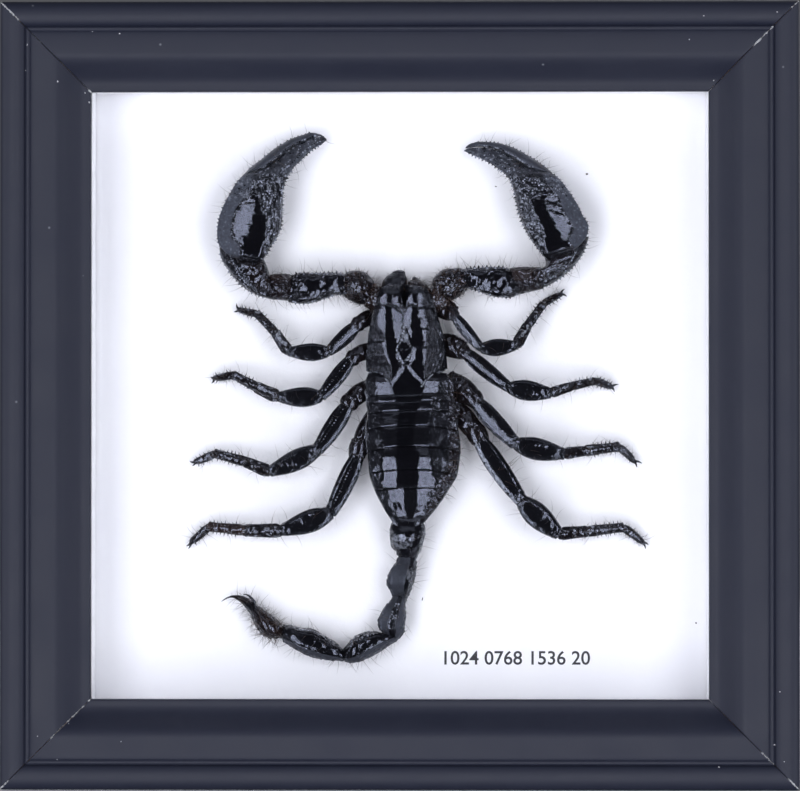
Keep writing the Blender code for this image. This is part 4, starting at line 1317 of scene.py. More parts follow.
LEFT_DIVISION = [
    (-29.5, 42.2), (-27.8, 42.9), (-25.8, 43.5), (-23.7, 45.2), (-21.6, 47.1), (-19.3, 48.5),
    (-17, 49.4), (-15.6, 49.9),
]
LEFT_KEEL = [
    (-26.6, 26.3), (-24.9, 28.6), (-23.4, 31.5), (-23, 34.8), (-22.9, 37.7), (-22.6, 40), (-21.8, 42.1),
    (-20.5, 43.8), (-19.3, 45.1), (-17.4, 46.9), (-15.4, 48.3),
]
LEFT_INNER_RIDGE = [
    (-31.6, 38.4), (-29.7, 39.6), (-26.6, 41.3), (-23.9, 42.5), (-21.2, 44.4), (-18.9, 46.7),
    (-16.6, 48.6),
]
LEFT_FOLDS = [
    [(-24.9, 22.9), (-23.3, 21.7), (-21.4, 19)],
    [(-23.9, 22.9), (-22.4, 22.1), (-21.6, 20.4)],
    [(-23, 23.1), (-21.6, 22.3), (-21, 22.9)],
    [(-22.4, 18.6), (-21.6, 20.2), (-21.2, 22.1)],
    [(-25.5, 22.1), (-24.7, 20.4), (-24.3, 19)],
]
RIGHT_DIVISION = [
    (28.4, 42.2), (26.9, 42.8), (25, 43.3), (23, 44.4), (20.9, 45.9), (18.6, 47), (16.3, 47.6),
    (14.2, 47.6),
]
RIGHT_KEEL = [
    (27.1, 26.7), (25.5, 28.7), (24.1, 31.1), (23, 33.4), (22.3, 35.9), (21.7, 38.6), (20.8, 41),
    (19.6, 42.6), (17.7, 44), (15.3, 45.3), (13.4, 46.3),
]
RIGHT_INNER_RIDGE = [
    (31.9, 38.4), (30, 39.6), (26.9, 41.1), (24.6, 41.9), (21.7, 43.8), (19, 45.7), (16.1, 47),
]
RIGHT_FOLDS = [
    [(21.3, 23.8), (22.5, 22.1), (24, 20.3)],
    [(21.9, 23.8), (23.2, 22.1), (24.8, 20.6)],
    [(25.2, 24), (24.4, 22.3), (25, 20.6)],
    [(26.3, 23.8), (25.4, 22.1), (25.7, 20.9)],
    [(22.3, 24.1), (24.4, 23.6), (26.7, 24.2)],
]

# Joints from the hip to the toe, widths of the joints between them, height of the knee, tips of the claws
LEGS = {
    "left_1": (
        [(-6.4, 14.9), (-8.2, 13.9), (-13.8, 8.5), (-21.5, 8.5), (-24, 12.1), (-27.7, 15.9), (-31.2, 16.7)],
        (2.7, 3.1, 2.1, 1.6, 1.3), 6, [(-31.6, 17.6), (-32, 16.4)],
    ),
    "left_2": (
        [(-7, 8.3), (-9.3, 7.4), (-15.2, -0.1), (-23.5, -0.2), (-27.7, 1.7), (-32.3, 4.1), (-36, 3.5)],
        (2.8, 3.5, 2.4, 1.7, 1.4), 6, [(-36.5, 3.7), (-36.4, 2.7)],
    ),
    "left_3": (
        [
            (-7.8, 1.2), (-9.9, -1.3), (-15.9, -10.4), (-25.1, -14.6), (-29.8, -12.7), (-35.8, -11.1),
            (-39.7, -12.7),
        ],
        (3.3, 3.7, 2.3, 1.8, 1.5), 6, [(-40.5, -12.6), (-40.1, -13.3)],
    ),
    "left_4": (
        [
            (-7.6, -4.4), (-7.9, -10.8), (-13.4, -22.6), (-22.7, -25.9), (-29.8, -25.9), (-37, -25.2),
            (-40.5, -28.2),
        ],
        (3.3, 4.0, 2.5, 1.9, 1.5), 6, [(-41.2, -28.8), (-40.9, -29.2)],
    ),
    "right_1": (
        [(8.8, 16.8), (10.2, 15.7), (15.6, 9.1), (22.4, 9.7), (24.5, 13.5), (27.5, 17.7), (30.9, 19.6)],
        (2.2, 3.0, 2.1, 1.6, 1.3), 7.6, [(31.5, 20.4), (31.8, 19.3)],
    ),
    "right_2": (
        [(9.4, 9.5), (12.1, 8.7), (20.9, 1.6), (28.9, 0.5), (32.8, 1.8), (37.4, 2.9), (40.6, 1.7)],
        (2.8, 3.6, 1.9, 1.5, 1.4), 6, [(41.7, 2.1), (41.1, 1)],
    ),
    "right_3": (
        [(11.5, 2.5), (14.2, -0.6), (22.2, -9.3), (31.5, -11.2), (35.5, -10.6), (42.1, -9.8), (45, -12.6)],
        (3.3, 3.9, 2.1, 1.9, 1.4), 6, [(46.2, -12.9), (45.4, -13.5)],
    ),
    "right_4": (
        [
            (12.3, -2.3), (14.8, -7.7), (23.3, -20.2), (30.5, -26.6), (35.9, -26.1), (42.9, -25.3),
            (46.6, -28.2),
        ],
        (3.6, 4.3, 2.3, 1.9, 1.5), 6, [(47.5, -28.6), (47.1, -29.2)],
    ),
}


# Body of the specimen

# Front and rear margin: side from -1 at the left to 1 at the right, then how far the margin is moved up
CARAPACE_FRONT = [
    (-1.0, -0.7), (-0.93, -0.1), (-0.75, 0.35), (-0.5, 0.5), (-0.3, 0.1), (-0.13, -1.7), (-0.03, -4.2),
    (0.03, -4.3), (0.13, -1.9), (0.22, -1.0), (0.36, -0.3), (0.58, 0.0), (0.85, -0.2), (1.0, -1.0),
]
CARAPACE_REAR = [
    (-1.0, 1.1), (-0.82, 0.2), (-0.57, -0.4), (-0.42, -1.6), (-0.34, -2.3), (-0.17, -2.7), (0.05, -3.1),
    (0.27, -2.7), (0.40, -2.1), (0.47, -1.0), (0.62, 0.0), (0.87, 0.8), (1.0, 1.5),
]


def carapace_margins(share, side):
    return read(CARAPACE_FRONT, side) * (1 - share) ** 4 + read(CARAPACE_REAR, side) * share ** 5


def line_across(line, up):
    """Where a line that runs along the body lies across it, at given places up."""
    return read(sorted(pair[::-1] for pair in line), up)


RAGGED_WAVES = 14
RAGGED_LENGTHS = (0.45, 2.4)
RAGGED_SEED = 400


def ragged(up, seed):
    """A random wavering of a line, mostly from -1 to 1."""
    draw = np.random.default_rng(seed)
    total = np.zeros_like(up)
    for _ in range(RAGGED_WAVES):
        total = total + np.sin(up * (math.tau / draw.uniform(*RAGGED_LENGTHS)) + draw.uniform(0, math.tau))
    return total / math.sqrt(RAGGED_WAVES)


EDGE_REACH = 0.38
EDGE_SOFTNESS = 0.05


def facets(form, edges, slopes, crest, waver=0.10):
    """Heights of flat facets side by side, from the lines between them and how steeply each one climbs.

    Zero is the middle of the facet whose number is given as the crest.
    """
    lines = [line_across(edge, form.up) for edge in edges]
    for number in range(1, len(lines)):
        lines[number] = np.maximum(lines[number], lines[number - 1])

    def climb(across):
        height = slopes[0] * np.minimum(across - lines[0], 0)
        for low, high, slope in zip(lines, lines[1:], slopes[1:]):
            height = height + slope * (np.clip(across, low, high) - low)
        return height + slopes[-1] * np.maximum(across - lines[-1], 0)

    middle = (lines[crest - 1] + lines[crest]) / 2
    place = form.across
    for number, line in enumerate(lines):
        near = bell(form.across - line, EDGE_REACH)
        place = place + waver * ragged(form.up, RAGGED_SEED + number) * near
    height = (climb(place - EDGE_SOFTNESS) + 2 * climb(place) + climb(place + EDGE_SOFTNESS)) / 4
    return height - climb(middle)


CREST_HEIGHT = 9.7
EYE_RISE = 0.02
EYE_EDGE = 0.12
GENTLE = 0.21
CARAPACE_SLOPES = [0.78, GENTLE, 0.0, -GENTLE, 0.0, GENTLE, 0.0, -GENTLE, -0.88]
# How the middle of the back rises and falls along the body
PROFILE = [
    (1.5, -0.12), (5.5, 0.0), (9.0, 0.05), (14.0, 0.1), (17.5, 0.0), (19.6, -0.15), (20.4, -0.5),
    (21.5, -1.6),
]
BROW_FOLD = [(-5.5, 17.3), (-3.2, 17.6), (-1.4, 17.3), (0.4, 16.3), (1.8, 17.6), (3.8, 17.1), (6.8, 17.0)]
REAR_LINES = [[(0.45, 6.0), (0.45, 5.3), (0.35, 4.6)], [(1.25, 6.0), (1.25, 5.3), (1.35, 4.6)]]
MIDDLE_LINE = [(0.5, 16.3), (0.5, 14.8), (0.6, 13.4)]
# Wave size, seed, depth on the bare shell, what the flanks add to it, and stretch
CARAPACE_RELIEF = [
    (2.6, 13, 0.012, 0.0, NO_STRETCH),
    (1.1, 15, 0.008, 0.0, (0.8, 1.6, 1.0)),
    (0.9, 11, 0.001, 0.085, (0.8, 2.4, 1.0)),
    (0.42, 12, 0.0006, 0.014, NO_STRETCH),
]
EYE = {"half": 0.32, "length": 0.05, "low": 9.5, "high": 10.12}


def flanks(form, edges, uneven, low, high):
    """How far past the outermost facets each point lies, from 0 to 1."""
    left = line_across(edges[0], form.up) - form.across
    right = form.across - line_across(edges[-1], form.up)
    return np.maximum(soft_step(left + uneven, low, high), soft_step(right + uneven, low, high))


def make_carapace():
    form = Form(CARAPACE_CUTS, 260, 260, roundness=0.66, belly=0.6, caps=(0.7, 0.25), warp=carapace_margins)
    profile = CREST_HEIGHT + read(PROFILE, form.up)
    form.roof(profile + facets(form, CARAPACE_FACETS, CARAPACE_SLOPES, 2), 0.1)
    form.ridge(MIDDLE_LINE, 0.14, -0.12)
    form.ridge(BROW_FOLD, 0.26, -0.15)
    for line in REAR_LINES:
        form.ridge(line, 0.14, 0.06)

    reach = read(EYE_LENS, form.up, 0, 0)
    inside = (reach - np.abs(form.across - EYE_LINE)) * (form.rise > 0.2)[None, :]
    form.points[..., 2] += (profile + EYE_RISE - form.points[..., 2]) * soft_step(inside, 0.0, EYE_EDGE)
    form.settle()
    outline = [(EYE_LINE - half, up) for up, half in EYE_LENS]
    outline += [(EYE_LINE + half, up) for up, half in EYE_LENS[::-1]]
    form.ridge(outline, 0.1, 0.04, curved=False)
    # Painted highlight: a pale line along the lens outline and a paler spear in its front part
    form.paint("pale", bell(form.from_line(outline), 0.08) * form.top)
    spear = soft_step(form.up, 10.1, 10.4) * soft_step(inside, 0.45 * reach, 0.8 * reach + 0.01)
    form.paint("pale", 0.5 * spear)
    form.settle()

    to_rear = (1 - form.shares) * form.length
    rim = soft_step(np.abs(form.across - EYE_LINE), 2.6, 3.4) * form.top
    form.push(0.14 * bell(to_rear - 0.22, 0.16) * rim)
    # Painted highlight along the rear rim
    form.paint("pale", bell(to_rear - 0.2, 0.15, 4) * rim)
    form.settle()
    uneven = form.ripple(1.4, 14, stretch=(1.0, 3.0, 1.0)) * 0.15
    flank = flanks(form, CARAPACE_FACETS, uneven, -0.05, 0.3)
    form.paint("matt", np.maximum(0.25 * flank, 0.4 * soft_step(form.up, 19.4, 20.0)))
    for size, seed, depth, flank_depth, stretch in CARAPACE_RELIEF:
        form.ruffle(size, seed, depth + flank_depth * flank, stretch)

    eyes = []
    for across, up in EYES:
        left = across - EYE["half"]
        right = across + EYE["half"]
        ends = (up - EYE["length"], up + EYE["length"])
        cuts = [(left, end, right, end, EYE["low"], EYE["high"]) for end in ends]
        eyes.append(Form(cuts, 8, 28, belly=0.3, caps=(0.3, 0.3)))
    finish_shell("carapace_shell", [form, *eyes], "black_shell", "carapace")


# Rear edges of the back plates along the abdomen, their sag at the sides and how steep each plate is
PLATE_EDGES = [3.9, 5.3, 7.1, 10.0, 14.0, 18.4, 22.0]
PLATE_SAG = [0.2, 0.3, 0.5, 1.0, 1.2, 1.0, 0.5]
PLATE_SLOPES = [
    (0.02, 0.0), (0.18, 0.18), (0.18, 0.18), (0.18, 0.18), (0.17, 0.15), (0.16, -0.02), (0.10, 0.0),
    (0.04, 0.0),
]
PLATE_HOLLOWS = [0.05, 0.14, 0.14, 0.14, 0.18, 0.22, 0.30, 0.26]
HOLLOW_REACH = 0.16
PLATE_RIM = 0.22
RIM_CURL = 0.34
ABDOMEN_SLOPES = [0.42, GENTLE, 0.0, -GENTLE, -0.42]
ABDOMEN_END = 29.4
SAG_RUN = 29.5
RING_GAP = 0.16
CLEAR_OF_EDGE = 0.26
EDGE_RINGS = (-0.25, -0.2, -0.15, -0.1, -0.05, -0.015, -0.004, 0.004, 0.015, 0.06, 0.12, 0.18, 0.25)
TAIL_RIM = [(-1.6, -23.4), (-0.4, -25.0), (1.2, -25.7), (2.6, -25.2), (3.5, -24.2)]
# Wave size, seed, depth on the bare shell, then what the flanks and the soft right side add to it
ABDOMEN_RELIEF = [
    (2.6, 20, 0.01, 0.07, 0.0),
    (1.2, 23, 0.008, 0.02, 0.0),
    (0.9, 21, 0.002, 0.01, 0.07),
]


def plate_relief(along):
    """Height of the back plates: each one rises, curls down at its rear rim and drops to the next."""
    starts = [0.0, *PLATE_EDGES]
    ends = [*PLATE_EDGES, ABDOMEN_END]
    relief = np.zeros_like(along)
    for start, stop, (first, last), sunk in zip(starts, ends, PLATE_SLOPES, PLATE_HOLLOWS):
        inside = (along >= start) & (along < stop)
        run = along - start
        rim = np.clip(along - (stop - PLATE_RIM), 0, PLATE_RIM)
        rise = first * run + (last - first) * run ** 4 / (4 * (stop - start) ** 3)
        rise -= (last + RIM_CURL) * rim ** 2 / (2 * PLATE_RIM)
        relief = np.where(inside, rise - sunk * bell(run, HOLLOW_REACH), relief)
    return relief


def plate_stops():
    """Ring places along the abdomen, crowded at each plate's rear edge."""
    stops = list(np.arange(0, ABDOMEN_END, RING_GAP))
    for edge in PLATE_EDGES:
        stops = [stop for stop in stops if abs(stop - edge) > CLEAR_OF_EDGE]
        stops += [edge + gap for gap in EDGE_RINGS]
    return np.array(sorted([*stops, ABDOMEN_END]))


def abdomen_sag(share, side):
    """How far the rear edges of the plates hang down the body towards the sides."""
    run = SAG_RUN
    sag = np.interp(share * run, [0.0, *PLATE_EDGES, run], [0.0, *PLATE_SAG, 0.0])
    return -sag * np.abs(side) ** 2.2


def make_abdomen():
    form = Form(ABDOMEN_CUTS, 0, 230, roundness=0.62, belly=0.6, caps=(0.3, 0.3), stops=plate_stops(),
                warp=abdomen_sag)
    form.roof(form.crown - 0.05 + facets(form, ABDOMEN_FACETS, ABDOMEN_SLOPES, 2), 0.1)
    reach = 1 - soft_step(np.abs(form.sides), 0.93, 1.0)
    form.push(plate_relief(form.along)[:, None] * reach * form.top)
    form.settle()
    flank = flanks(form, ABDOMEN_FACETS, form.ripple(1.6, 19) * 0.2, 0.0, 0.6)
    right = soft_step(form.across, 8.6, 10.2) + soft_step(form.across - (form.up + 14) * 0.45, 8.0, 9.5)
    membrane = np.clip(right, 0, 1)
    form.paint("matt", 0.3 * flank * (1 - membrane) + 0.1 * membrane)
    form.paint("brown", 0.25 * membrane)
    form.paint("hairy", 0.25 * membrane)
    for size, seed, depth, flank_depth, soft_depth in ABDOMEN_RELIEF:
        form.ruffle(size, seed, depth + flank_depth * flank + soft_depth * membrane)
    form.roughen(0.5, 22, 0.0008 + 0.004 * flank + 0.05 * membrane)
    form.lump((-0.5, -21.2), (0.45, 0.9), -0.16, 30)
    broken = soft_step(1 - form.from_spot((5.2, -20.0), (2.4, 2.6)), 0.0, 0.3)
    form.ruffle(1.0, 26, 0.05 * broken)

    above_board = (form.rise > -0.3)[None, :]
    edge = bell(form.from_line(smooth_line(LEFT_FLANK_LINE, 30)), 0.16) * above_board
    form.push(0.22 * edge)
    # Painted highlight along the left flank line, and painted glints on the soft right side
    painted_glints = 0.6 * soft_step(form.ripple(0.8, 25), 0.9, 1.3) * membrane
    form.paint("pale", np.maximum(0.9 * edge, painted_glints) * above_board)
    rim = smooth_line(TAIL_RIM, 24)
    form.ridge(rim, 0.25, 0.25, curved=False)
    # Painted highlight along the rim at the abdomen's rear end
    form.paint("pale", 0.8 * bell(form.from_line(rim), 0.17) * form.top)
    finish_shell("abdomen_shell", [form], "black_shell", "abdomen")


# Cuts, matt share, brown share, fuzzy share and seed
JAWS = {"left": (JAW_LEFT_CUTS, 0.5, 0.05, 0.4, 35), "right": (JAW_RIGHT_CUTS, 0.4, 0.4, 1.0, 36)}


def make_jaws():
    for side, (cuts, matt, brown, fuzzy, seed) in JAWS.items():
        form = Form(cuts, 50, 64, belly=0.5, caps=(0.5, 0.7))
        form.roughen(0.7, seed, 0.02)
        form.roughen(0.3, seed + 2, 0.02)
        form.paint("matt", matt)
        form.paint("brown", brown)
        form.paint("fuzzy", fuzzy)
        finish_shell(f"jaw_shell_{side}", [form], "black_shell", f"jaw_{side}")


# Tail

def tail_form(cuts, seed, keels, groove=0.0, keel_height=0.09, roundness=0.85, lit=None, bands=(), rows=(),
              painted_highlight=()):
    """A tail ring: a groove along its back between low keels, crumpled ends and, on some, long facets.

    Lit gives the two lines of a gentle facet and its slope, bands the sides between which the skin is
    matt, rows the angles at which beads stand, painted_highlight the centres, half sizes and strengths of
    pale patches of painted highlight.
    """
    form = Form(cuts, 80, 110, roundness=roundness, belly=0.5, caps=(0.35, 0.35))
    if lit:
        low, high, slope = lit
        form.roof(form.crown - 0.1 + facets(form, [low, high], [0.5, slope, -0.5], 1), 0.1)
    side = form.sides
    top = form.top
    share = form.shares
    middle = np.sin(math.pi * np.clip(share, 0, 1)) ** 0.7
    form.push(-groove * bell(side, 0.2) * middle * top)
    for keel in keels:
        for sign in (-1, 1):
            form.push(keel_height * bell(side - sign * keel, 0.06) * middle * top)
    ends = soft_step(np.abs(share - 0.5), 0.30, 0.48)
    form.roughen(1.6, seed + 2, 0.02)
    form.roughen(0.8, seed, 0.006 + 0.04 * ends)
    form.roughen(0.4, seed + 1, 0.001 + 0.01 * ends)
    ragged = soft_step(np.abs(side), 0.7, 0.92) * (form.rise > -0.3)[None, :]
    form.roughen(0.75, seed + 3, 0.09 * ragged)
    # Painted glints: pale flecks on the ragged sides
    form.paint("pale", 0.5 * ragged * soft_step(form.ripple(0.5, seed + 4), 0.7, 1.0))
    form.paint("matt", 0.05 + 0.12 * ends)
    # Matt bands; the shell material also paints a slate sheen on them
    for low, high in bands:
        inside = soft_step(side, low - 0.08, low) * (1 - soft_step(side, high, high + 0.08))
        form.paint("matt", 0.75 * inside * top)
    # Painted highlight: pale patches at the given centres
    for centre, half, strength in painted_highlight:
        near = 1 - form.from_spot(centre, half) + 0.12 * form.ripple(0.9, seed + 5)
        form.paint("pale", strength * soft_step(near, 0.0, 0.1) * top)
    add_rows(form, rows, 0.08, 0.92, 0.55, 0.17, 0.5)
    return form


TAIL_RINGS = [
    (TAIL_1_CUTS, {
        "keels": (0.8,), "rows": (20, 170), "painted_highlight": [((0.1, -28.2), (2.1, 1.5), 0.42)],
        "lit": ([(-1.8, -24), (-1.8, -31)], [(2.4, -24), (2.3, -31)], GENTLE),
    }),
    (TAIL_2_CUTS, {
        "keels": (0.7,), "rows": (12, 168), "painted_highlight": [((1.8, -34.4), (0.6, 1.6), 0.4)],
        "bands": [(-0.95, 0.35)], "lit": ([(0.8, -31), (0.9, -38)], [(2.4, -31), (2.3, -38)], -GENTLE),
    }),
    (TAIL_3_CUTS, {
        "keels": (0.3,), "rows": (95, 82, 12), "groove": 0.1, "bands": [(-0.95, -0.25), (0.42, 0.9)],
        "lit": ([(-0.9, -39), (-2.0, -46)], [(0.2, -39), (-1.0, -46)], GENTLE),
    }),
    (TAIL_4_CUTS, {"keels": (0.66,), "rows": (150, 125), "bands": [(0.45, 1.0)]}),
    (TAIL_5_CUTS, {"keels": (0.55,), "rows": (150,), "bands": [(0.55, 1.0)]}),
]
SPINE = [(-28.0, -39.9), (-28.7, -39.0), (-29.4, -38.4), (-30.3, -38.2)]
SPINE_GIRTHS = [0.28, 0.24, 0.16, 0.05]
SPINE_HEIGHTS = [3.6, 3.8, 3.8, 3.6]


def make_tail():
    for number, (cuts, relief) in enumerate(TAIL_RINGS):
        form = tail_form(cuts, 41 + 3 * number, **relief)
        form.paint("hairy", 0.35 if number > 2 else 0.2)
        node = f"tail_{number + 1}"
        finish_shell(f"{node}_ring", [form], "black_shell", node)
    bulb = tail_form(BULB_CUTS, 61, (0.5,), keel_height=0.05, roundness=1.0)
    bulb.paint("brown", 0.5 * soft_step(-bulb.up, 40.0, 44.0))
    bulb.paint("bushy", 1.0)
    sting = Form(STING_CUTS, 60, 32, belly=0.5, caps=(0.2, 0.1))
    sting.paint("bushy", soft_step(sting.across, -33.0, -30.0))
    sting.paint("brown", 0.4 * soft_step(-sting.across, 27.0, 30.0))
    spine = Form(limb_cuts(SPINE, SPINE_GIRTHS, SPINE_HEIGHTS, SPINE_GIRTHS), 24, 16, caps=(0.1, 0.05))
    finish_shell("stinger_bulb", [bulb, sting, spine], "black_shell", "stinger")


# Pincers

def claw_form(cuts, keel, division, inner_ridge, edges, slopes, crest):
    """The hand with its fixed finger, its upper side in long facets. Crest 2 is the left hand."""
    form = Form(cuts, 260, 200, roundness=0.66, belly=0.66, caps=(0.5, 0.25))
    share = form.shares
    finger = soft_step(share, 0.5, 0.62)
    form.roof(form.crown - 0.35 + 2.5 * finger + facets(form, edges, slopes, crest, waver=0.35), 0.12)
    form.ridge(inner_ridge, 0.35, 0.16)
    form.ridge(keel, 0.3, 0.12)
    form.settle()
    past = [line_across(edges[0], form.up) - form.across, form.across - line_across(edges[-1], form.up)]
    inside, outside = past if crest == 1 else past[::-1]
    outer = soft_step(outside, 0.0, 0.4) * (1 - finger)
    knuckle = soft_step(share, 0.36, 0.44) * (1 - finger)
    inner = soft_step(inside + 0.25 * form.ripple(2.0, 70), -0.2, 0.5) * soft_step(share, 0.03, 0.12)
    inner = np.maximum(inner, 0.7 * knuckle)
    rough = np.maximum(inner, finger * 0.8) * (form.rise > -0.2)[None, :]
    rugged = inner * (1 - 0.6 * finger) * form.facing
    squiggle = form.ripple(0.75, 71, (0.8, 2.6, 1.0) if crest == 2 else (1.8, 0.75, 1.0))
    form.push(squiggle * 0.11 * rugged)
    # Painted highlight: pale squiggles on the rugged inner half
    form.paint("pale", 0.75 * soft_step(squiggle, 0.35, 0.8) * rugged * (share > 0.08))
    form.roughen(1.3, 76, 0.03 * rugged)
    form.ruffle(2.8, 75, 0.015)
    form.roughen(0.9, 72, 0.006 + 0.012 * outer)
    # Painted glints: pale dots on the outer band
    form.paint("pale", 0.35 * soft_step(form.ripple(0.55, 78), 0.85, 1.15) * outer)
    form.roughen(0.6, 73, 0.001 + 0.035 * finger, (1.0, 1.8, 1.0))
    wrist = 1 - soft_step(share, 0.0, 0.05)
    form.roughen(0.6, 74, 0.04 * wrist)
    # Matt finger and outer band; the shell material also paints a slate sheen where this is strong
    form.paint("matt", 0.8 * finger + outer * (1 - wrist))
    form.paint("granular", rough * (1 - 0.55 * finger))
    edge = soft_step(np.abs(form.sides), 0.85, 0.97)
    form.paint("hairy", 0.08 * finger + 0.14 * edge)
    form.paint("fuzzy", 0.15 * edge)
    add_rows(form, [4], 0.05, 0.97, 0.75, 0.26, 1.2)
    add_rows(form, [176], 0.05, 0.97, 0.75, 0.22, 1.0)
    border = edges[0] if crest == 2 else edges[-1]
    for line in (division, inner_ridge, keel, border[1:]):
        add_row(*drape(form, line), 0.5, 0.16, 0.5)
    return form


def finger_form(cuts):
    form = Form(cuts, 110, 64, belly=0.6, caps=(0.35, 0.2))
    form.roughen(1.1, 81, 0.03)
    form.roughen(0.6, 82, 0.015)
    form.push(0.16 * bell(form.sides - 0.55, 0.12) * form.facing)
    # Matt skin, which the shell material also paints with a slate sheen
    form.paint("matt", 0.75)
    form.paint("granular", 0.6 * soft_step(form.sides, 0.2, 0.5) * form.top)
    form.paint("hairy", 0.3)
    add_rows(form, [174], 0.05, 0.97, 0.75, 0.2, 1.0)
    add_rows(form, [60], 0.05, 0.97, 0.55, 0.19, 0.5)
    return form


def patella_form(cuts, seed):
    form = Form(cuts, 130, 130, roundness=0.75, belly=0.6, caps=(0.4, 0.4))
    outer = 1 - soft_step(form.sides, -0.35, -0.05)
    form.ruffle(1.1, seed, 0.075)
    form.ruffle(0.6, seed + 1, 0.014 + 0.03 * outer)
    form.push(0.2 * bell(form.sides + 0.42, 0.07) * form.facing)
    form.paint("matt", 0.03 + 0.08 * outer)
    form.paint("brown", 0.2 * (1 - outer))
    form.paint("granular", 0.3 * outer * form.top)
    form.paint("hairy", 0.15 + 0.3 * outer)
    add_rows(form, [172], 0.05, 0.95, 0.75, 0.24, 1.1)
    add_rows(form, [115], 0.05, 0.95, 0.55, 0.19, 0.5)
    return form


def elbow_form(cuts, folds, seed):
    """The folded soft skin of an elbow."""
    form = Form(cuts, 80, 96, belly=0.55, caps=(0.3, 0.3))
    for fold in folds:
        form.ridge(fold, 0.17, 0.3)
    form.settle()
    form.roughen(0.7, seed, 0.05)
    upper = soft_step(form.up, 21.6, 23.0)
    form.paint("brown", 0.3 + 0.7 * upper)
    form.paint("matt", 0.1 + 0.35 * upper)
    form.paint("hairy", 0.3)
    return form


def femur_form(cuts, seed):
    form = Form(cuts, 120, 120, roundness=0.66, belly=0.58, caps=(0.4, 0.4))
    outward = np.abs(form.sides)
    edge = soft_step(outward, 0.62, 0.85)
    ends = soft_step(np.abs(form.shares - 0.5), 0.25, 0.48)
    form.push(0.12 * bell(outward - 0.72, 0.06) * form.facing)
    form.ruffle(1.7, seed, 0.085)
    form.ruffle(0.6, seed + 1, 0.003 + 0.02 * edge + 0.02 * ends)
    form.paint("matt", 0.15 * edge)
    form.paint("granular", 0.45 * edge * (form.rise > -0.2)[None, :])
    form.paint("hairy", 0.1 + 0.4 * edge)
    for turn, size, tall in ((8, 0.25, 1.2), (30, 0.22, 1.0), (172, 0.24, 1.1), (150, 0.22, 1.0)):
        add_rows(form, [turn], 0.05, 0.95, 0.75, size, tall)
    return form


def lump_form(cuts, seed, matt, brown):
    form = Form(cuts, 60, 88, belly=0.55, caps=(0.5, 0.5))
    form.ruffle(1.3, seed, 0.10)
    form.roughen(0.7, seed + 1, 0.03)
    form.paint("matt", matt)
    form.paint("brown", brown)
    form.paint("granular", 0.2 * form.top)
    # Painted glints: pale dots on the brown coxa
    if brown > 0.5:
        form.paint("pale", 0.9 * soft_step(form.ripple(0.5, seed + 3), 0.8, 1.0))
    form.paint("hairy", 0.5)
    form.paint("fuzzy", 0.8)
    return form


# How each pincer is laid: hand and its lines, finger, forearm, arm, then the seeds
PINCERS = {
    "left": {
        "hand": (
            LEFT_HAND_CUTS, LEFT_KEEL, LEFT_DIVISION, LEFT_INNER_RIDGE, LEFT_HAND_FACETS,
            [0.42, GENTLE, 0.0, -GENTLE], 2,
        ),
        "finger": LEFT_FINGER_CUTS,
        "patella": LEFT_PATELLA_CUTS, "elbow": (LEFT_ELBOW_CUTS, LEFT_FOLDS),
        "femur": LEFT_FEMUR_CUTS, "trochanter": LEFT_TROCHANTER_CUTS, "coxa": LEFT_COXA_CUTS,
        "seed": 100, "femur_seed": 112,
    },
    "right": {
        "hand": (
            RIGHT_HAND_CUTS, RIGHT_KEEL, RIGHT_DIVISION, RIGHT_INNER_RIDGE, RIGHT_HAND_FACETS,
            [GENTLE, 0.0, -GENTLE, -0.42], 1,
        ),
        "finger": RIGHT_FINGER_CUTS,
        "patella": RIGHT_PATELLA_CUTS, "elbow": (RIGHT_ELBOW_CUTS, RIGHT_FOLDS),
        "femur": RIGHT_FEMUR_CUTS, "trochanter": RIGHT_TROCHANTER_CUTS, "coxa": RIGHT_COXA_CUTS,
        "seed": 200, "femur_seed": 215,
    },
}


def make_pincer(name, part):
    seed = part["seed"]
    hand = claw_form(*part["hand"])
    finger = finger_form(part["finger"])
    patella = patella_form(part["patella"], seed + 4)
    elbow = elbow_form(*part["elbow"], seed + 8)
    arm = [
        femur_form(part["femur"], part["femur_seed"]),
        lump_form(part["trochanter"], seed + 16, 0.0, 0.2),
        lump_form(part["coxa"], seed + 20, 0.0, 0.8),
    ]
    shells = {"hand": [hand], "finger": [finger], "forearm": [patella, elbow], "arm": arm}
    for place, forms in shells.items():
        finish_shell(f"{place}_{name}", forms, "black_shell", f"pincer_{name}_{place}")


# Legs

def limb_cuts(path, girths, middles, talls):
    """Cuts square to a limb's own line, from half widths, middle heights and half heights at its points."""
    path = np.asarray(path, float)
    cuts = []
    for index, (place, girth, middle, tall) in enumerate(zip(path, girths, middles, talls)):
        before = path[max(index - 1, 0)]
        after = path[min(index + 1, len(path) - 1)]
        run = (after - before) / np.linalg.norm(after - before)
        square = np.array([-run[1], run[0]]) * girth
        cuts.append((*(place + square), *(place - square), middle - tall, middle + tall))
    return cuts


def bowed(start, end, bow, count):
    """Points from start to end on a shallow arch, its rise given in millimetres."""
    start = np.asarray(start, float)
    end = np.asarray(end, float)
    run = end - start
    square = np.array([-run[1], run[0]]) / np.linalg.norm(run)
    share = np.linspace(0, 1, count)[:, None]
    return start + run * share + square * bow * 4 * share * (1 - share)


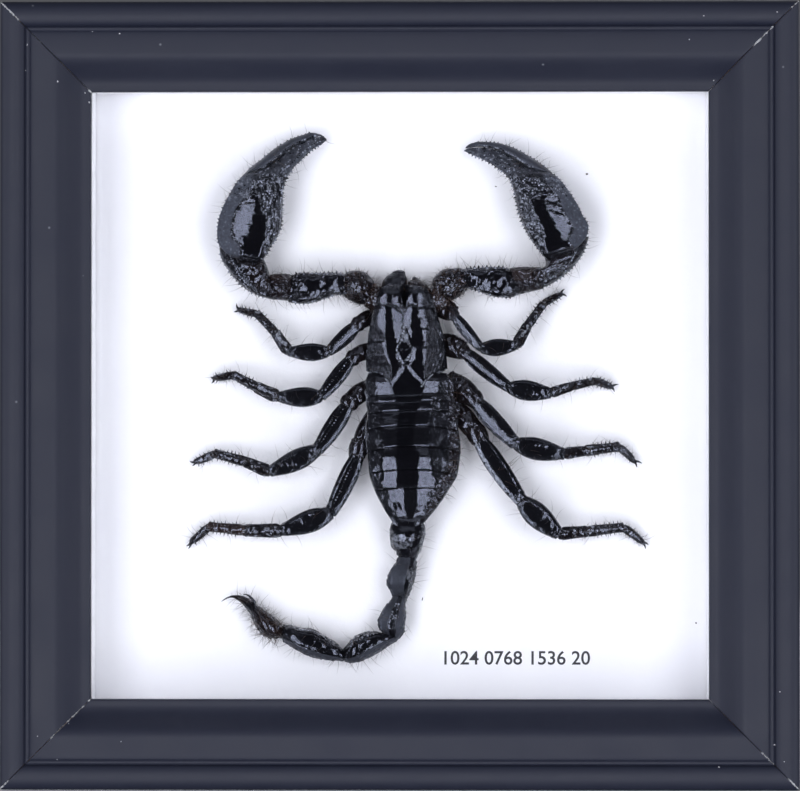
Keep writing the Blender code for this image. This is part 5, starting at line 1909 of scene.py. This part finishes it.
HIP_SHAPE = [0.8, 0.95, 1.05, 1.0, 0.85]
COLLAR_SHAPE = [0.8, 1.0, 1.0, 0.85]
THIGH_SHAPE = [0.62, 0.86, 1.0, 1.0, 0.95, 0.82, 0.66]
KNEE_SHAPE = [0.55, 0.84, 1.0, 1.0, 0.9, 0.72, 0.5]
SHIN_SHAPE = [0.8, 1.0, 1.0, 0.95, 0.92, 0.9, 0.85]
HEEL_SHAPE = [0.95, 1.05, 1.0, 0.95, 0.92, 0.9, 0.95]
TOE_SHAPE = [0.8, 1.0, 1.0, 0.95, 0.9, 0.82, 0.6]
HIP_HEIGHT = 4.2
ANKLE_DROP = 0.1
SHIN_END_HEIGHT = 4.3
HEEL_HEIGHT = 2.8
TOE_HEIGHT = 1.6
FRONT_FOOT_LIFT = 0.8
LIT_SHIN = 0.4
HIP_TUCK = 2.6
HIP_SPREAD = {"right_1": 1.6, "right_2": 1.4, "right_3": 1.15}
LEG_PUFF = 1.1
LEG_FLATNESS = 0.72
CLAW_GIRTHS = [0.30, 0.24, 0.16, 0.05]
CLAW_RISE = np.array([0.0, 0.1, 0.0, -0.4])
# Small swellings on the knee pieces, which catch the light
KNEE_GLINTS = {
    "left_1": [(-14.6, 8.2), (-15.3, 8.6)],
    "left_3": [(-22.4, -13.5), (-21.4, -13.4), (-20.4, -13.2), (-17.0, -11.6)],
    "left_4": [(-16.9, -22.8), (-18.6, -24.2)],
    "right_2": [(25.9, 0.4), (26.8, 0.8), (23.9, 1.1)],
    "right_3": [(27.7, -9.7), (26.4, -9.5), (29.6, -11.6)],
    "right_4": [(27.3, -23.2), (28.6, -25.0)],
}
# How wide the gentle facet along a thigh is, as a share of the thigh's width
LIT_THIGHS = {"left_1": 0.35, "right_1": 0.4, "right_2": 0.35, "right_3": 0.55}


def side_facet(form, path, reach):
    """Heights of a limb with a flat back and a gentle facet as wide as the reach along its lower side."""
    run = path[-1] - path[0]
    away = 1 if run[0] * run[1] > 0 else -1
    edges = [[(across + share * away * reach, up) for across, up in path] for share in (0.1, 1.1)]
    slopes = [0.0, -GENTLE, -0.6]
    if away < 0:
        edges = edges[::-1]
        slopes = [0.6, GENTLE, 0.0]
    return form.crown - 0.05 - GENTLE * reach / 2 + facets(form, edges, slopes, 1)


def leg_form(start, end, heights, width, shape, bow, seed, crumple=0.05, keel=0.0, roundness=0.78, hairs=0.2,
             arch=0.3, lit=0.0):
    """One joint of a leg, crumpled at its ends, with a keel near one edge."""
    shape = np.array(shape)
    path = bowed(start, end, bow, len(shape))
    middles = np.linspace(heights[0], heights[1], len(shape))
    talls = shape ** arch * width / 2 * LEG_FLATNESS
    cuts = limb_cuts(path, shape * width / 2, middles, talls)
    form = Form(cuts, 70, 72, roundness=roundness, belly=0.5, caps=(0.3, 0.3))
    if lit:
        form.roof(side_facet(form, path, lit * width), 0.08)
    ends = soft_step(np.abs(form.shares - 0.5), 0.28, 0.48)
    broken = 0.55 + 0.45 * form.ripple(1.3, seed + 3)
    form.push(abs(keel) * broken * bell(form.sides - math.copysign(0.84, keel), 0.10) * form.facing)
    form.ruffle(2.2, seed + 2, 0.012)
    form.roughen(0.9, seed, 0.003 + crumple * ends)
    form.roughen(0.45, seed + 1, 0.001 + 0.4 * crumple * ends)
    form.paint("matt", 0.04 * ends)
    form.paint("hairy", hairs)
    return form


def make_leg(name, joints, widths, high, claws, seed):
    hip, bend, knee, ankle, shin_end, heel, toe = (np.array(joint) for joint in joints)
    thigh_width, knee_width, shin_width, heel_width, toe_width = (LEG_PUFF * width for width in widths)
    ankle_height = high - ANKLE_DROP
    lower = -1 if name.startswith("left") else 1
    hip_end = bend + (knee - bend) * 0.08
    rise = HIP_HEIGHT + (high - HIP_HEIGHT) * 0.6
    inward = np.array([-float(lower), 0.35])
    tucked = hip + inward / np.linalg.norm(inward) * HIP_TUCK
    root_width = thigh_width * HIP_SPREAD.get(name, 1.0)
    root = leg_form(
        tucked, bend, (HIP_HEIGHT - 0.6, rise), root_width, HIP_SHAPE, 0.2 * lower, seed,
        crumple=0.10, roundness=0.9,
    )
    root.ruffle(1.5, seed + 15, 0.12)
    hip_start = bend + (hip - bend) * 0.35
    collar = leg_form(
        hip_start, hip_end, (rise, rise + 0.1), thigh_width * 1.02, COLLAR_SHAPE, 0.0, seed + 12,
        crumple=0.12, roundness=0.9,
    )
    for form in (root, collar):
        form.paint("brown", 0.2)
    thigh = leg_form(
        bend, knee, (rise, high), thigh_width, THIGH_SHAPE, -0.12 * lower, seed + 2,
        keel=0.16 * lower, roundness=0.5, arch=0.03, lit=LIT_THIGHS.get(name, 0.0),
    )
    patella = leg_form(
        knee, ankle, (high, ankle_height), knee_width, KNEE_SHAPE, -0.1 * lower, seed + 4,
        keel=0.12 * lower, roundness=0.5, crumple=0.06, arch=0.03,
    )
    for place in KNEE_GLINTS.get(name, []):
        patella.lump(place, (0.45, 0.3), 0.13)
    front = name.endswith(("1", "2"))
    lift = FRONT_FOOT_LIFT if front else 0.0
    lit = LIT_SHIN if front else 0.0
    shin_end_height = SHIN_END_HEIGHT + lift
    heel_height = HEEL_HEIGHT + lift
    shin = leg_form(
        ankle, shin_end, (ankle_height, shin_end_height), shin_width, SHIN_SHAPE, 0.05, seed + 6,
        roundness=0.8 if front else 1.2, hairs=0.35, lit=lit,
    )
    heel_part = leg_form(
        shin_end, heel, (shin_end_height, heel_height), heel_width, HEEL_SHAPE, 0.0, seed + 8,
        roundness=0.8 if front else 1.1, hairs=0.4, lit=lit,
    )
    toe_part = leg_form(heel, toe, (heel_height, TOE_HEIGHT), toe_width, TOE_SHAPE, 0.1, seed + 10, hairs=0.5)
    for form, fuzz in ((shin, 0.25), (heel_part, 0.6), (toe_part, 1.0)):
        form.ruffle(1.7, seed + 13, 0.055)
        form.roughen(0.6, seed + 14, 0.012)
        # Painted glints: pale flecks on the upper side of shin, heel and toe
        worn = soft_step(form.ripple(0.8, seed + 16, (1.6, 1.0, 1.0)), 0.75, 1.1)
        form.paint("pale", 0.8 * worn * (form.facing > 0.4))
        form.paint("fuzzy", fuzz)
        form.paint("brown", 0.15)
    # Painted highlight: broken pale patches along the middle of the first legs' shins
    if name.endswith("1"):
        band = 1 - soft_step(np.abs(shin.sides - 0.05), 0.22, 0.34)
        shin.paint("pale", band * (shin.facing > 0.4) * soft_step(shin.ripple(1.6, seed + 17), -0.35, -0.15))
    if name == "left_4":
        heel_part.paint("brown", 1.0)
    # Painted highlight: a pale streak along the lower side of the last right thigh
    if name == "right_4":
        thigh.paint("pale", 0.8 * soft_step(thigh.sides * lower, 0.45, 0.7) * (thigh.rise > -0.2)[None, :])
    turn = 152 if lower < 0 else 28
    add_rows(thigh, [turn], 0.08, 0.95, 0.6, 0.17, 0.5)
    add_rows(thigh, [180 - turn * 0.6], 0.05, 0.95, 0.6, 0.13, 0.5)
    add_rows(patella, [turn], 0.1, 0.9, 0.6, 0.14, 0.5)
    for form in (heel_part, toe_part):
        add_rows(form, (10, 60, 120, 170), 0.15, 0.98, 0.75, 0.13, 3.4)
    hooks = []
    for tip in claws:
        path = bowed(toe, toe + (np.array(tip) - toe) * 1.3, 0.15, 4)
        cuts = limb_cuts(path, CLAW_GIRTHS, TOE_HEIGHT + CLAW_RISE, CLAW_GIRTHS)
        hooks.append(Form(cuts, 14, 12, caps=(0.1, 0.03)))
    parts = {"thigh": [root, collar, thigh], "knee": [patella], "foot": [shin, heel_part, toe_part, *hooks]}
    for part, forms in parts.items():
        finish_shell(f"{part}_{name}", forms, "leg_shell", f"leg_{name}_{part}")


# What repeats over the specimen: granules, bristles and dust, grown by node trees

ROWS = []
DRAPED_POINTS = 60
FULL_TURN = 6.283
TOOTH_SPACING = 0.7
SOCKET_KINDS = {
    str: "NodeSocketString", float: "NodeSocketFloat", int: "NodeSocketInt", bool: "NodeSocketBool",
    type(None): "NodeSocketMaterial",
}


def add_row(points, normals, spacing, size, tall):
    """Keeps a row for the bead tree: places on the board, outward directions, spacing and size."""
    ROWS.append((points, normals, spacing, size, tall))


def add_rows(form, turns, start, end, spacing, size, tall):
    """Rows along a form at several angles around it, between two shares of its length."""
    for turn in turns:
        add_row(*form.row(turn, start, end), spacing, size, tall)


def drape(form, line):
    """A line on the board laid over a form's upper skin."""
    path = smooth_line(line, DRAPED_POINTS)
    top = np.flatnonzero(form.rise > 0.05)
    places = form.points[:, top]
    found = []
    for place in path:
        gaps = np.hypot(places[..., 0] - place[0], places[..., 1] - place[1])
        ring, column = np.unravel_index(np.argmin(gaps), gaps.shape)
        found.append((ring, top[column]))
    rings = [pair[0] for pair in found]
    columns = [pair[1] for pair in found]
    return form.points[rings, columns], form.normal[rings, columns]


def turn_to_world(normals):
    return np.stack([normals[:, 0], -normals[:, 2], normals[:, 1]], axis=1)


def new_tree(name, **given):
    """A geometry node tree whose named inputs start with the given values. None stands for a material."""
    tree = bpy.data.node_groups.new(name, "GeometryNodeTree")
    tree.interface.new_socket("Geometry", in_out="INPUT", socket_type="NodeSocketGeometry")
    for label, value in given.items():
        kind = SOCKET_KINDS[type(value)]
        socket = tree.interface.new_socket(label.replace("_", " "), in_out="INPUT", socket_type=kind)
        if value is not None:
            socket.default_value = value
    tree.interface.new_socket("Geometry", in_out="OUTPUT", socket_type="NodeSocketGeometry")
    entry = tree.nodes.new("NodeGroupInput")
    leave = tree.nodes.new("NodeGroupOutput")
    return tree, entry.outputs, leave.inputs


def random_value(tree, low, high, seed, kind="FLOAT"):
    made = add_node(tree, "FunctionNodeRandomValue", data_type=kind)
    lowest, highest = [socket for socket in made.inputs if socket.enabled][:2]
    give(tree, low, lowest)
    give(tree, high, highest)
    give(tree, seed, made.inputs["Seed"])
    return next(socket for socket in made.outputs if socket.enabled)


def named_value(tree, name, kind="FLOAT"):
    made = add_node(tree, "GeometryNodeInputNamedAttribute", {"Name": name}, data_type=kind)
    return next(socket for socket in made.outputs if socket.enabled and socket.name == "Attribute")


def scatter_points(tree, method, inputs):
    return add_node(tree, "GeometryNodeDistributePointsOnFaces", inputs, distribute_method=method).outputs


def ball(tree, radius):
    return add_node(tree, "GeometryNodeMeshIcoSphere", {"Radius": radius, "Subdivisions": 2}).outputs[0]


def end_tree(tree, leave, material, points, shape, rotation, scale):
    """Places a shape on points and passes it on as real, smooth mesh."""
    inputs = {"Points": points, "Instance": shape, "Rotation": rotation, "Scale": scale}
    placed = add_node(tree, "GeometryNodeInstanceOnPoints", inputs)
    real = add_node(tree, "GeometryNodeRealizeInstances", {"Geometry": placed.outputs[0]})
    smooth = add_node(tree, "GeometryNodeSetShadeSmooth", {0: real.outputs[0]})
    dressed = add_node(tree, "GeometryNodeSetMaterial", {"Geometry": smooth.outputs[0], "Material": material})
    give(tree, dressed.outputs[0], leave["Geometry"])


def make_bristle_tree():
    """Tapered curved hairs scattered where a mask allows them."""
    tree, given, leave = new_tree(
        "bristles", Mask="hairy", Per_Square_Metre=100000.0, Length=0.003, Thickness=0.00004, Lean=0.7,
        Seed=1, Material=None,
    )
    density = calc(tree, "MULTIPLY", named_value(tree, given["Mask"]), given["Per Square Metre"])
    inputs = {"Mesh": given["Geometry"], "Density": density, "Seed": given["Seed"]}
    scatter = scatter_points(tree, "RANDOM", inputs)

    middle = add_node(tree, "ShaderNodeCombineXYZ", {"Z": calc(tree, "MULTIPLY", given["Length"], 0.5)})
    sweep = calc(tree, "MULTIPLY", given["Length"], 0.38)
    tip = add_node(tree, "ShaderNodeCombineXYZ", {"X": sweep, "Z": given["Length"]})
    inputs = {"Resolution": 5, "Start": (0, 0, 0), "Middle": middle.outputs[0], "End": tip.outputs[0]}
    stem = add_node(tree, "GeometryNodeCurveQuadraticBezier", inputs)
    taper = add_node(tree, "GeometryNodeSplineParameter").outputs["Factor"]
    radius = calc(tree, "MULTIPLY", given["Thickness"], calc(tree, "SUBTRACT", 1.08, taper))
    sized = add_node(tree, "GeometryNodeSetCurveRadius", {"Curve": stem.outputs[0], "Radius": radius})
    ring = add_node(tree, "GeometryNodeCurvePrimitiveCircle", {"Resolution": 3, "Radius": 1.0})
    inputs = {"Curve": sized.outputs[0], "Profile Curve": ring.outputs[0], "Fill Caps": True}
    hair = add_node(tree, "GeometryNodeCurveToMesh", inputs)
    give(tree, add_node(tree, "GeometryNodeInputRadius").outputs[0], hair.inputs["Scale"])

    lean = given["Lean"]
    back = calc(tree, "MULTIPLY", lean, -1.0)
    low = add_node(tree, "ShaderNodeCombineXYZ", {"X": back, "Y": back, "Z": 0.0})
    high = add_node(tree, "ShaderNodeCombineXYZ", {"X": lean, "Y": lean, "Z": FULL_TURN})
    tilt = random_value(tree, low.outputs[0], high.outputs[0], given["Seed"], "FLOAT_VECTOR")
    inputs = {"Rotation": scatter["Rotation"], "Rotate By": tilt}
    turned = add_node(tree, "FunctionNodeRotateRotation", inputs, rotation_space="LOCAL").outputs[0]
    scale = random_value(tree, 0.35, 1.0, given["Seed"])
    end_tree(tree, leave, given["Material"], scatter["Points"], hair.outputs[0], turned, scale)
    return tree


def make_granule_tree():
    """Flattened round granules of uneven size, kept apart from each other, where a mask allows them."""
    tree, given, leave = new_tree(
        "granules", Mask="granular", Apart=0.0003, Per_Square_Metre=5000000.0, Radius=0.00012, Seed=1,
        Material=None,
    )
    inputs = {
        "Mesh": given["Geometry"], "Distance Min": given["Apart"], "Density Max": given["Per Square Metre"],
        "Density Factor": named_value(tree, given["Mask"]), "Seed": given["Seed"],
    }
    scatter = scatter_points(tree, "POISSON", inputs)
    bead = ball(tree, given["Radius"])
    scale = random_value(tree, (0.6, 0.6, 0.22), (1.3, 1.3, 0.40), given["Seed"], "FLOAT_VECTOR")
    end_tree(tree, leave, given["Material"], scatter["Points"], bead, scatter["Rotation"], scale)
    return tree


def make_row_tree():
    """A row of pointed beads along lines that carry their own size and outward direction."""
    tree, given, leave = new_tree(
        "bead_rows", Spacing=0.0004, Unevenness=0.35, Pointed=False, Seed=1, Material=None,
    )
    curve = add_node(tree, "GeometryNodeMeshToCurve", {"Mesh": given["Geometry"]})
    inputs = {"Curve": curve.outputs[0], "Length": given["Spacing"]}
    spaced = add_node(tree, "GeometryNodeResampleCurve", inputs, mode="LENGTH")
    round_bead = ball(tree, 1.0)
    inputs = {"Vertices": 8, "Side Segments": 2, "Radius Top": 0.12, "Radius Bottom": 1.0, "Depth": 1.4}
    spike = add_node(tree, "GeometryNodeMeshCone", inputs)
    inputs = {"Geometry": spike.outputs[0], "Translation": (0.0, 0.0, -0.35)}
    sunk = add_node(tree, "GeometryNodeTransform", inputs)
    inputs = {"Switch": given["Pointed"], "False": round_bead, "True": sunk.outputs[0]}
    bead = add_node(tree, "GeometryNodeSwitch", inputs, input_type="GEOMETRY").outputs[0]
    facing = named_value(tree, "outward", "FLOAT_VECTOR")
    turned = add_node(tree, "FunctionNodeAlignRotationToVector", {"Vector": facing}, axis="Z").outputs[0]
    floor = calc(tree, "SUBTRACT", 1.0, given["Unevenness"])
    roof = calc(tree, "ADD", 1.0, given["Unevenness"])
    scatter = random_value(tree, floor, roof, given["Seed"])
    uneven = calc(tree, "MULTIPLY", named_value(tree, "bead_size"), scatter)
    height = calc(tree, "MULTIPLY", uneven, named_value(tree, "bead_tall"))
    scale = add_node(tree, "ShaderNodeCombineXYZ", {"X": uneven, "Y": uneven, "Z": height}).outputs[0]
    end_tree(tree, leave, given["Material"], spaced.outputs[0], bead, turned, scale)
    return tree


def make_fleck_tree():
    """Small uneven lumps of dust at given spots."""
    tree, given, leave = new_tree("dust_flecks", Size=0.0002, Seed=1, Material=None)
    spots = add_node(tree, "GeometryNodeMeshToPoints", {"Mesh": given["Geometry"]}).outputs[0]
    lump = ball(tree, given["Size"])
    scale = random_value(tree, (0.45, 0.35, 0.35), (1.35, 0.70, 0.95), given["Seed"], "FLOAT_VECTOR")
    spin = random_value(tree, (0.0, 0.0, 0.0), (0.0, FULL_TURN, 0.0), given["Seed"], "FLOAT_VECTOR")
    end_tree(tree, leave, given["Material"], spots, lump, spin, scale)
    return tree


GROWTH_MASKS = ("hairy", "bushy", "fuzzy", "granular")


def grow(name, carrier, tree, slot, **inputs):
    """Runs a tree on a carrier and keeps what it makes as a plain mesh piece."""
    modifier = carrier.modifiers.new(name, "NODES")
    modifier.node_group = tree
    labels = {item.name: item.identifier for item in tree.interface.items_tree if item.in_out == "INPUT"}
    for label, value in inputs.items():
        modifier[labels[label.replace("_", " ")]] = value
    mesh = evaluated_mesh(carrier)
    carrier.modifiers.remove(modifier)
    for key in [item.name for item in mesh.attributes if item.name in GROWTH_MASKS]:
        mesh.attributes.remove(mesh.attributes[key])
    mesh.name = name
    finish_piece(add_object(name, mesh))


def make_carrier():
    """One mesh of the upper skins of all forms that something grows on."""
    points = []
    faces = []
    paints = {key: [] for key in GROWTH_MASKS}
    first = 0
    for form in GROWN:
        if not any(key in form.paints for key in GROWTH_MASKS):
            continue
        rings, sides = form.shape
        quads = np.array(grid_faces(rings, sides, first))
        points.append(form.points.reshape(-1, 3))
        faces += (quads if outward_sign(form) > 0 else quads[:, ::-1]).tolist()
        for key in GROWTH_MASKS:
            mask = form.paints.get(key, np.zeros(form.shape)) * (form.rise > -0.35)[None, :]
            paints[key].append(mask.reshape(-1))
        first += rings * sides
    paints = {key: np.concatenate(parts) for key, parts in paints.items()}
    return add_mesh("growth_carrier", to_world(np.concatenate(points)), faces, [], paints)


def make_row_carrier(rows):
    """Edges along the rows, with size and outward direction at each point."""
    points = []
    edges = []
    outward = []
    sizes = []
    talls = []
    first = 0
    for places, normals, _, size, tall in rows:
        count = len(places)
        points.append(to_world(places))
        outward.append(turn_to_world(normals))
        sizes += [size * MM] * count
        talls += [tall] * count
        edges += [(first + index, first + index + 1) for index in range(count - 1)]
        first += count
    mesh = bpy.data.meshes.new("row_carrier")
    mesh.from_pydata(np.concatenate(points).tolist(), edges, [])
    facing = mesh.attributes.new("outward", "FLOAT_VECTOR", "POINT")
    facing.data.foreach_set("vector", np.concatenate(outward).astype(np.float32).reshape(-1))
    for key, values in (("bead_size", sizes), ("bead_tall", talls)):
        mesh.attributes.new(key, "FLOAT", "POINT").data.foreach_set("value", np.array(values, np.float32))
    return add_object("row_carrier", mesh)


# Small dark specks on the board: across, up and height in millimetres
BOARD_SPECKS = [(18.4, 40.5, 0.05), (36.0, 42.9, 0.05), (57.0, -43.8, 0.05), (4.2, -39.2, 0.05)]


def grow_flecks(name, places, tree, slot, size, material):
    mesh = bpy.data.meshes.new("speck_carrier")
    mesh.from_pydata([tuple(place) for place in places], [], [])
    carrier = add_object("speck_carrier", mesh)
    grow(name, carrier, tree, slot, Size=size, Seed=31, Material=material)
    bpy.data.objects.remove(carrier)


# Name, slot, mask, hairs to the square metre, length and thickness in metres, seed
HAIRS = [
    ("long_hairs", "black_shell", "hairy", 1.3e6, 0.0033, 0.000038, 5),
    ("sting_hairs", "black_shell", "bushy", 3.6e6, 0.0032, 0.000045, 6),
    ("short_hairs", "leg_shell", "fuzzy", 5.0e6, 0.0010, 0.000045, 9),
]
HAIR_LEAN = 0.9
GRANULES = {"Apart": 0.00040, "Per_Square_Metre": 5.0e6, "Radius": 0.00019, "Seed": 3}
RAIL_SPECK_SIZE = 0.00016
BOARD_SPECK_SIZE = 0.00026


def grow_all():
    carrier = make_carrier()
    bristles = make_bristle_tree()
    granules = make_granule_tree()
    bead_rows = make_row_tree()
    for name, slot, mask_name, density, length, thickness, seed in HAIRS:
        grow(name, carrier, bristles, slot, Mask=mask_name, Per_Square_Metre=density, Length=length,
             Thickness=thickness, Lean=HAIR_LEAN, Seed=seed, Material=BRISTLE)
    grow("granules", carrier, granules, "black_shell", Mask="granular", Material=BEAD_SHELL, **GRANULES)
    bpy.data.objects.remove(carrier)
    for number, spacing in enumerate(sorted({row[2] for row in ROWS})):
        rows = make_row_carrier([row for row in ROWS if row[2] == spacing])
        grow(f"bead_rows_{number + 1}", rows, bead_rows, "black_shell", Spacing=spacing * MM, Unevenness=0.4,
             Pointed=spacing > TOOTH_SPACING, Seed=7 + number, Material=BEAD_SHELL)
        bpy.data.objects.remove(rows)
    flecks = make_fleck_tree()
    grow_flecks("rail_dust", speck_places(), flecks, "moulding", RAIL_SPECK_SIZE, DUST_FLECK)
    grow_flecks("board_specks", to_world(BOARD_SPECKS), flecks, "white_board", BOARD_SPECK_SIZE, BRISTLE)


make_rails()
finish_case()
make_number()
make_carapace()
make_abdomen()
make_jaws()
make_tail()
for side, part in PINCERS.items():
    make_pincer(side, part)
for number, (name, leg) in enumerate(LEGS.items()):
    make_leg(name, *leg, 300 + 20 * number)
grow_all()
make_stage()
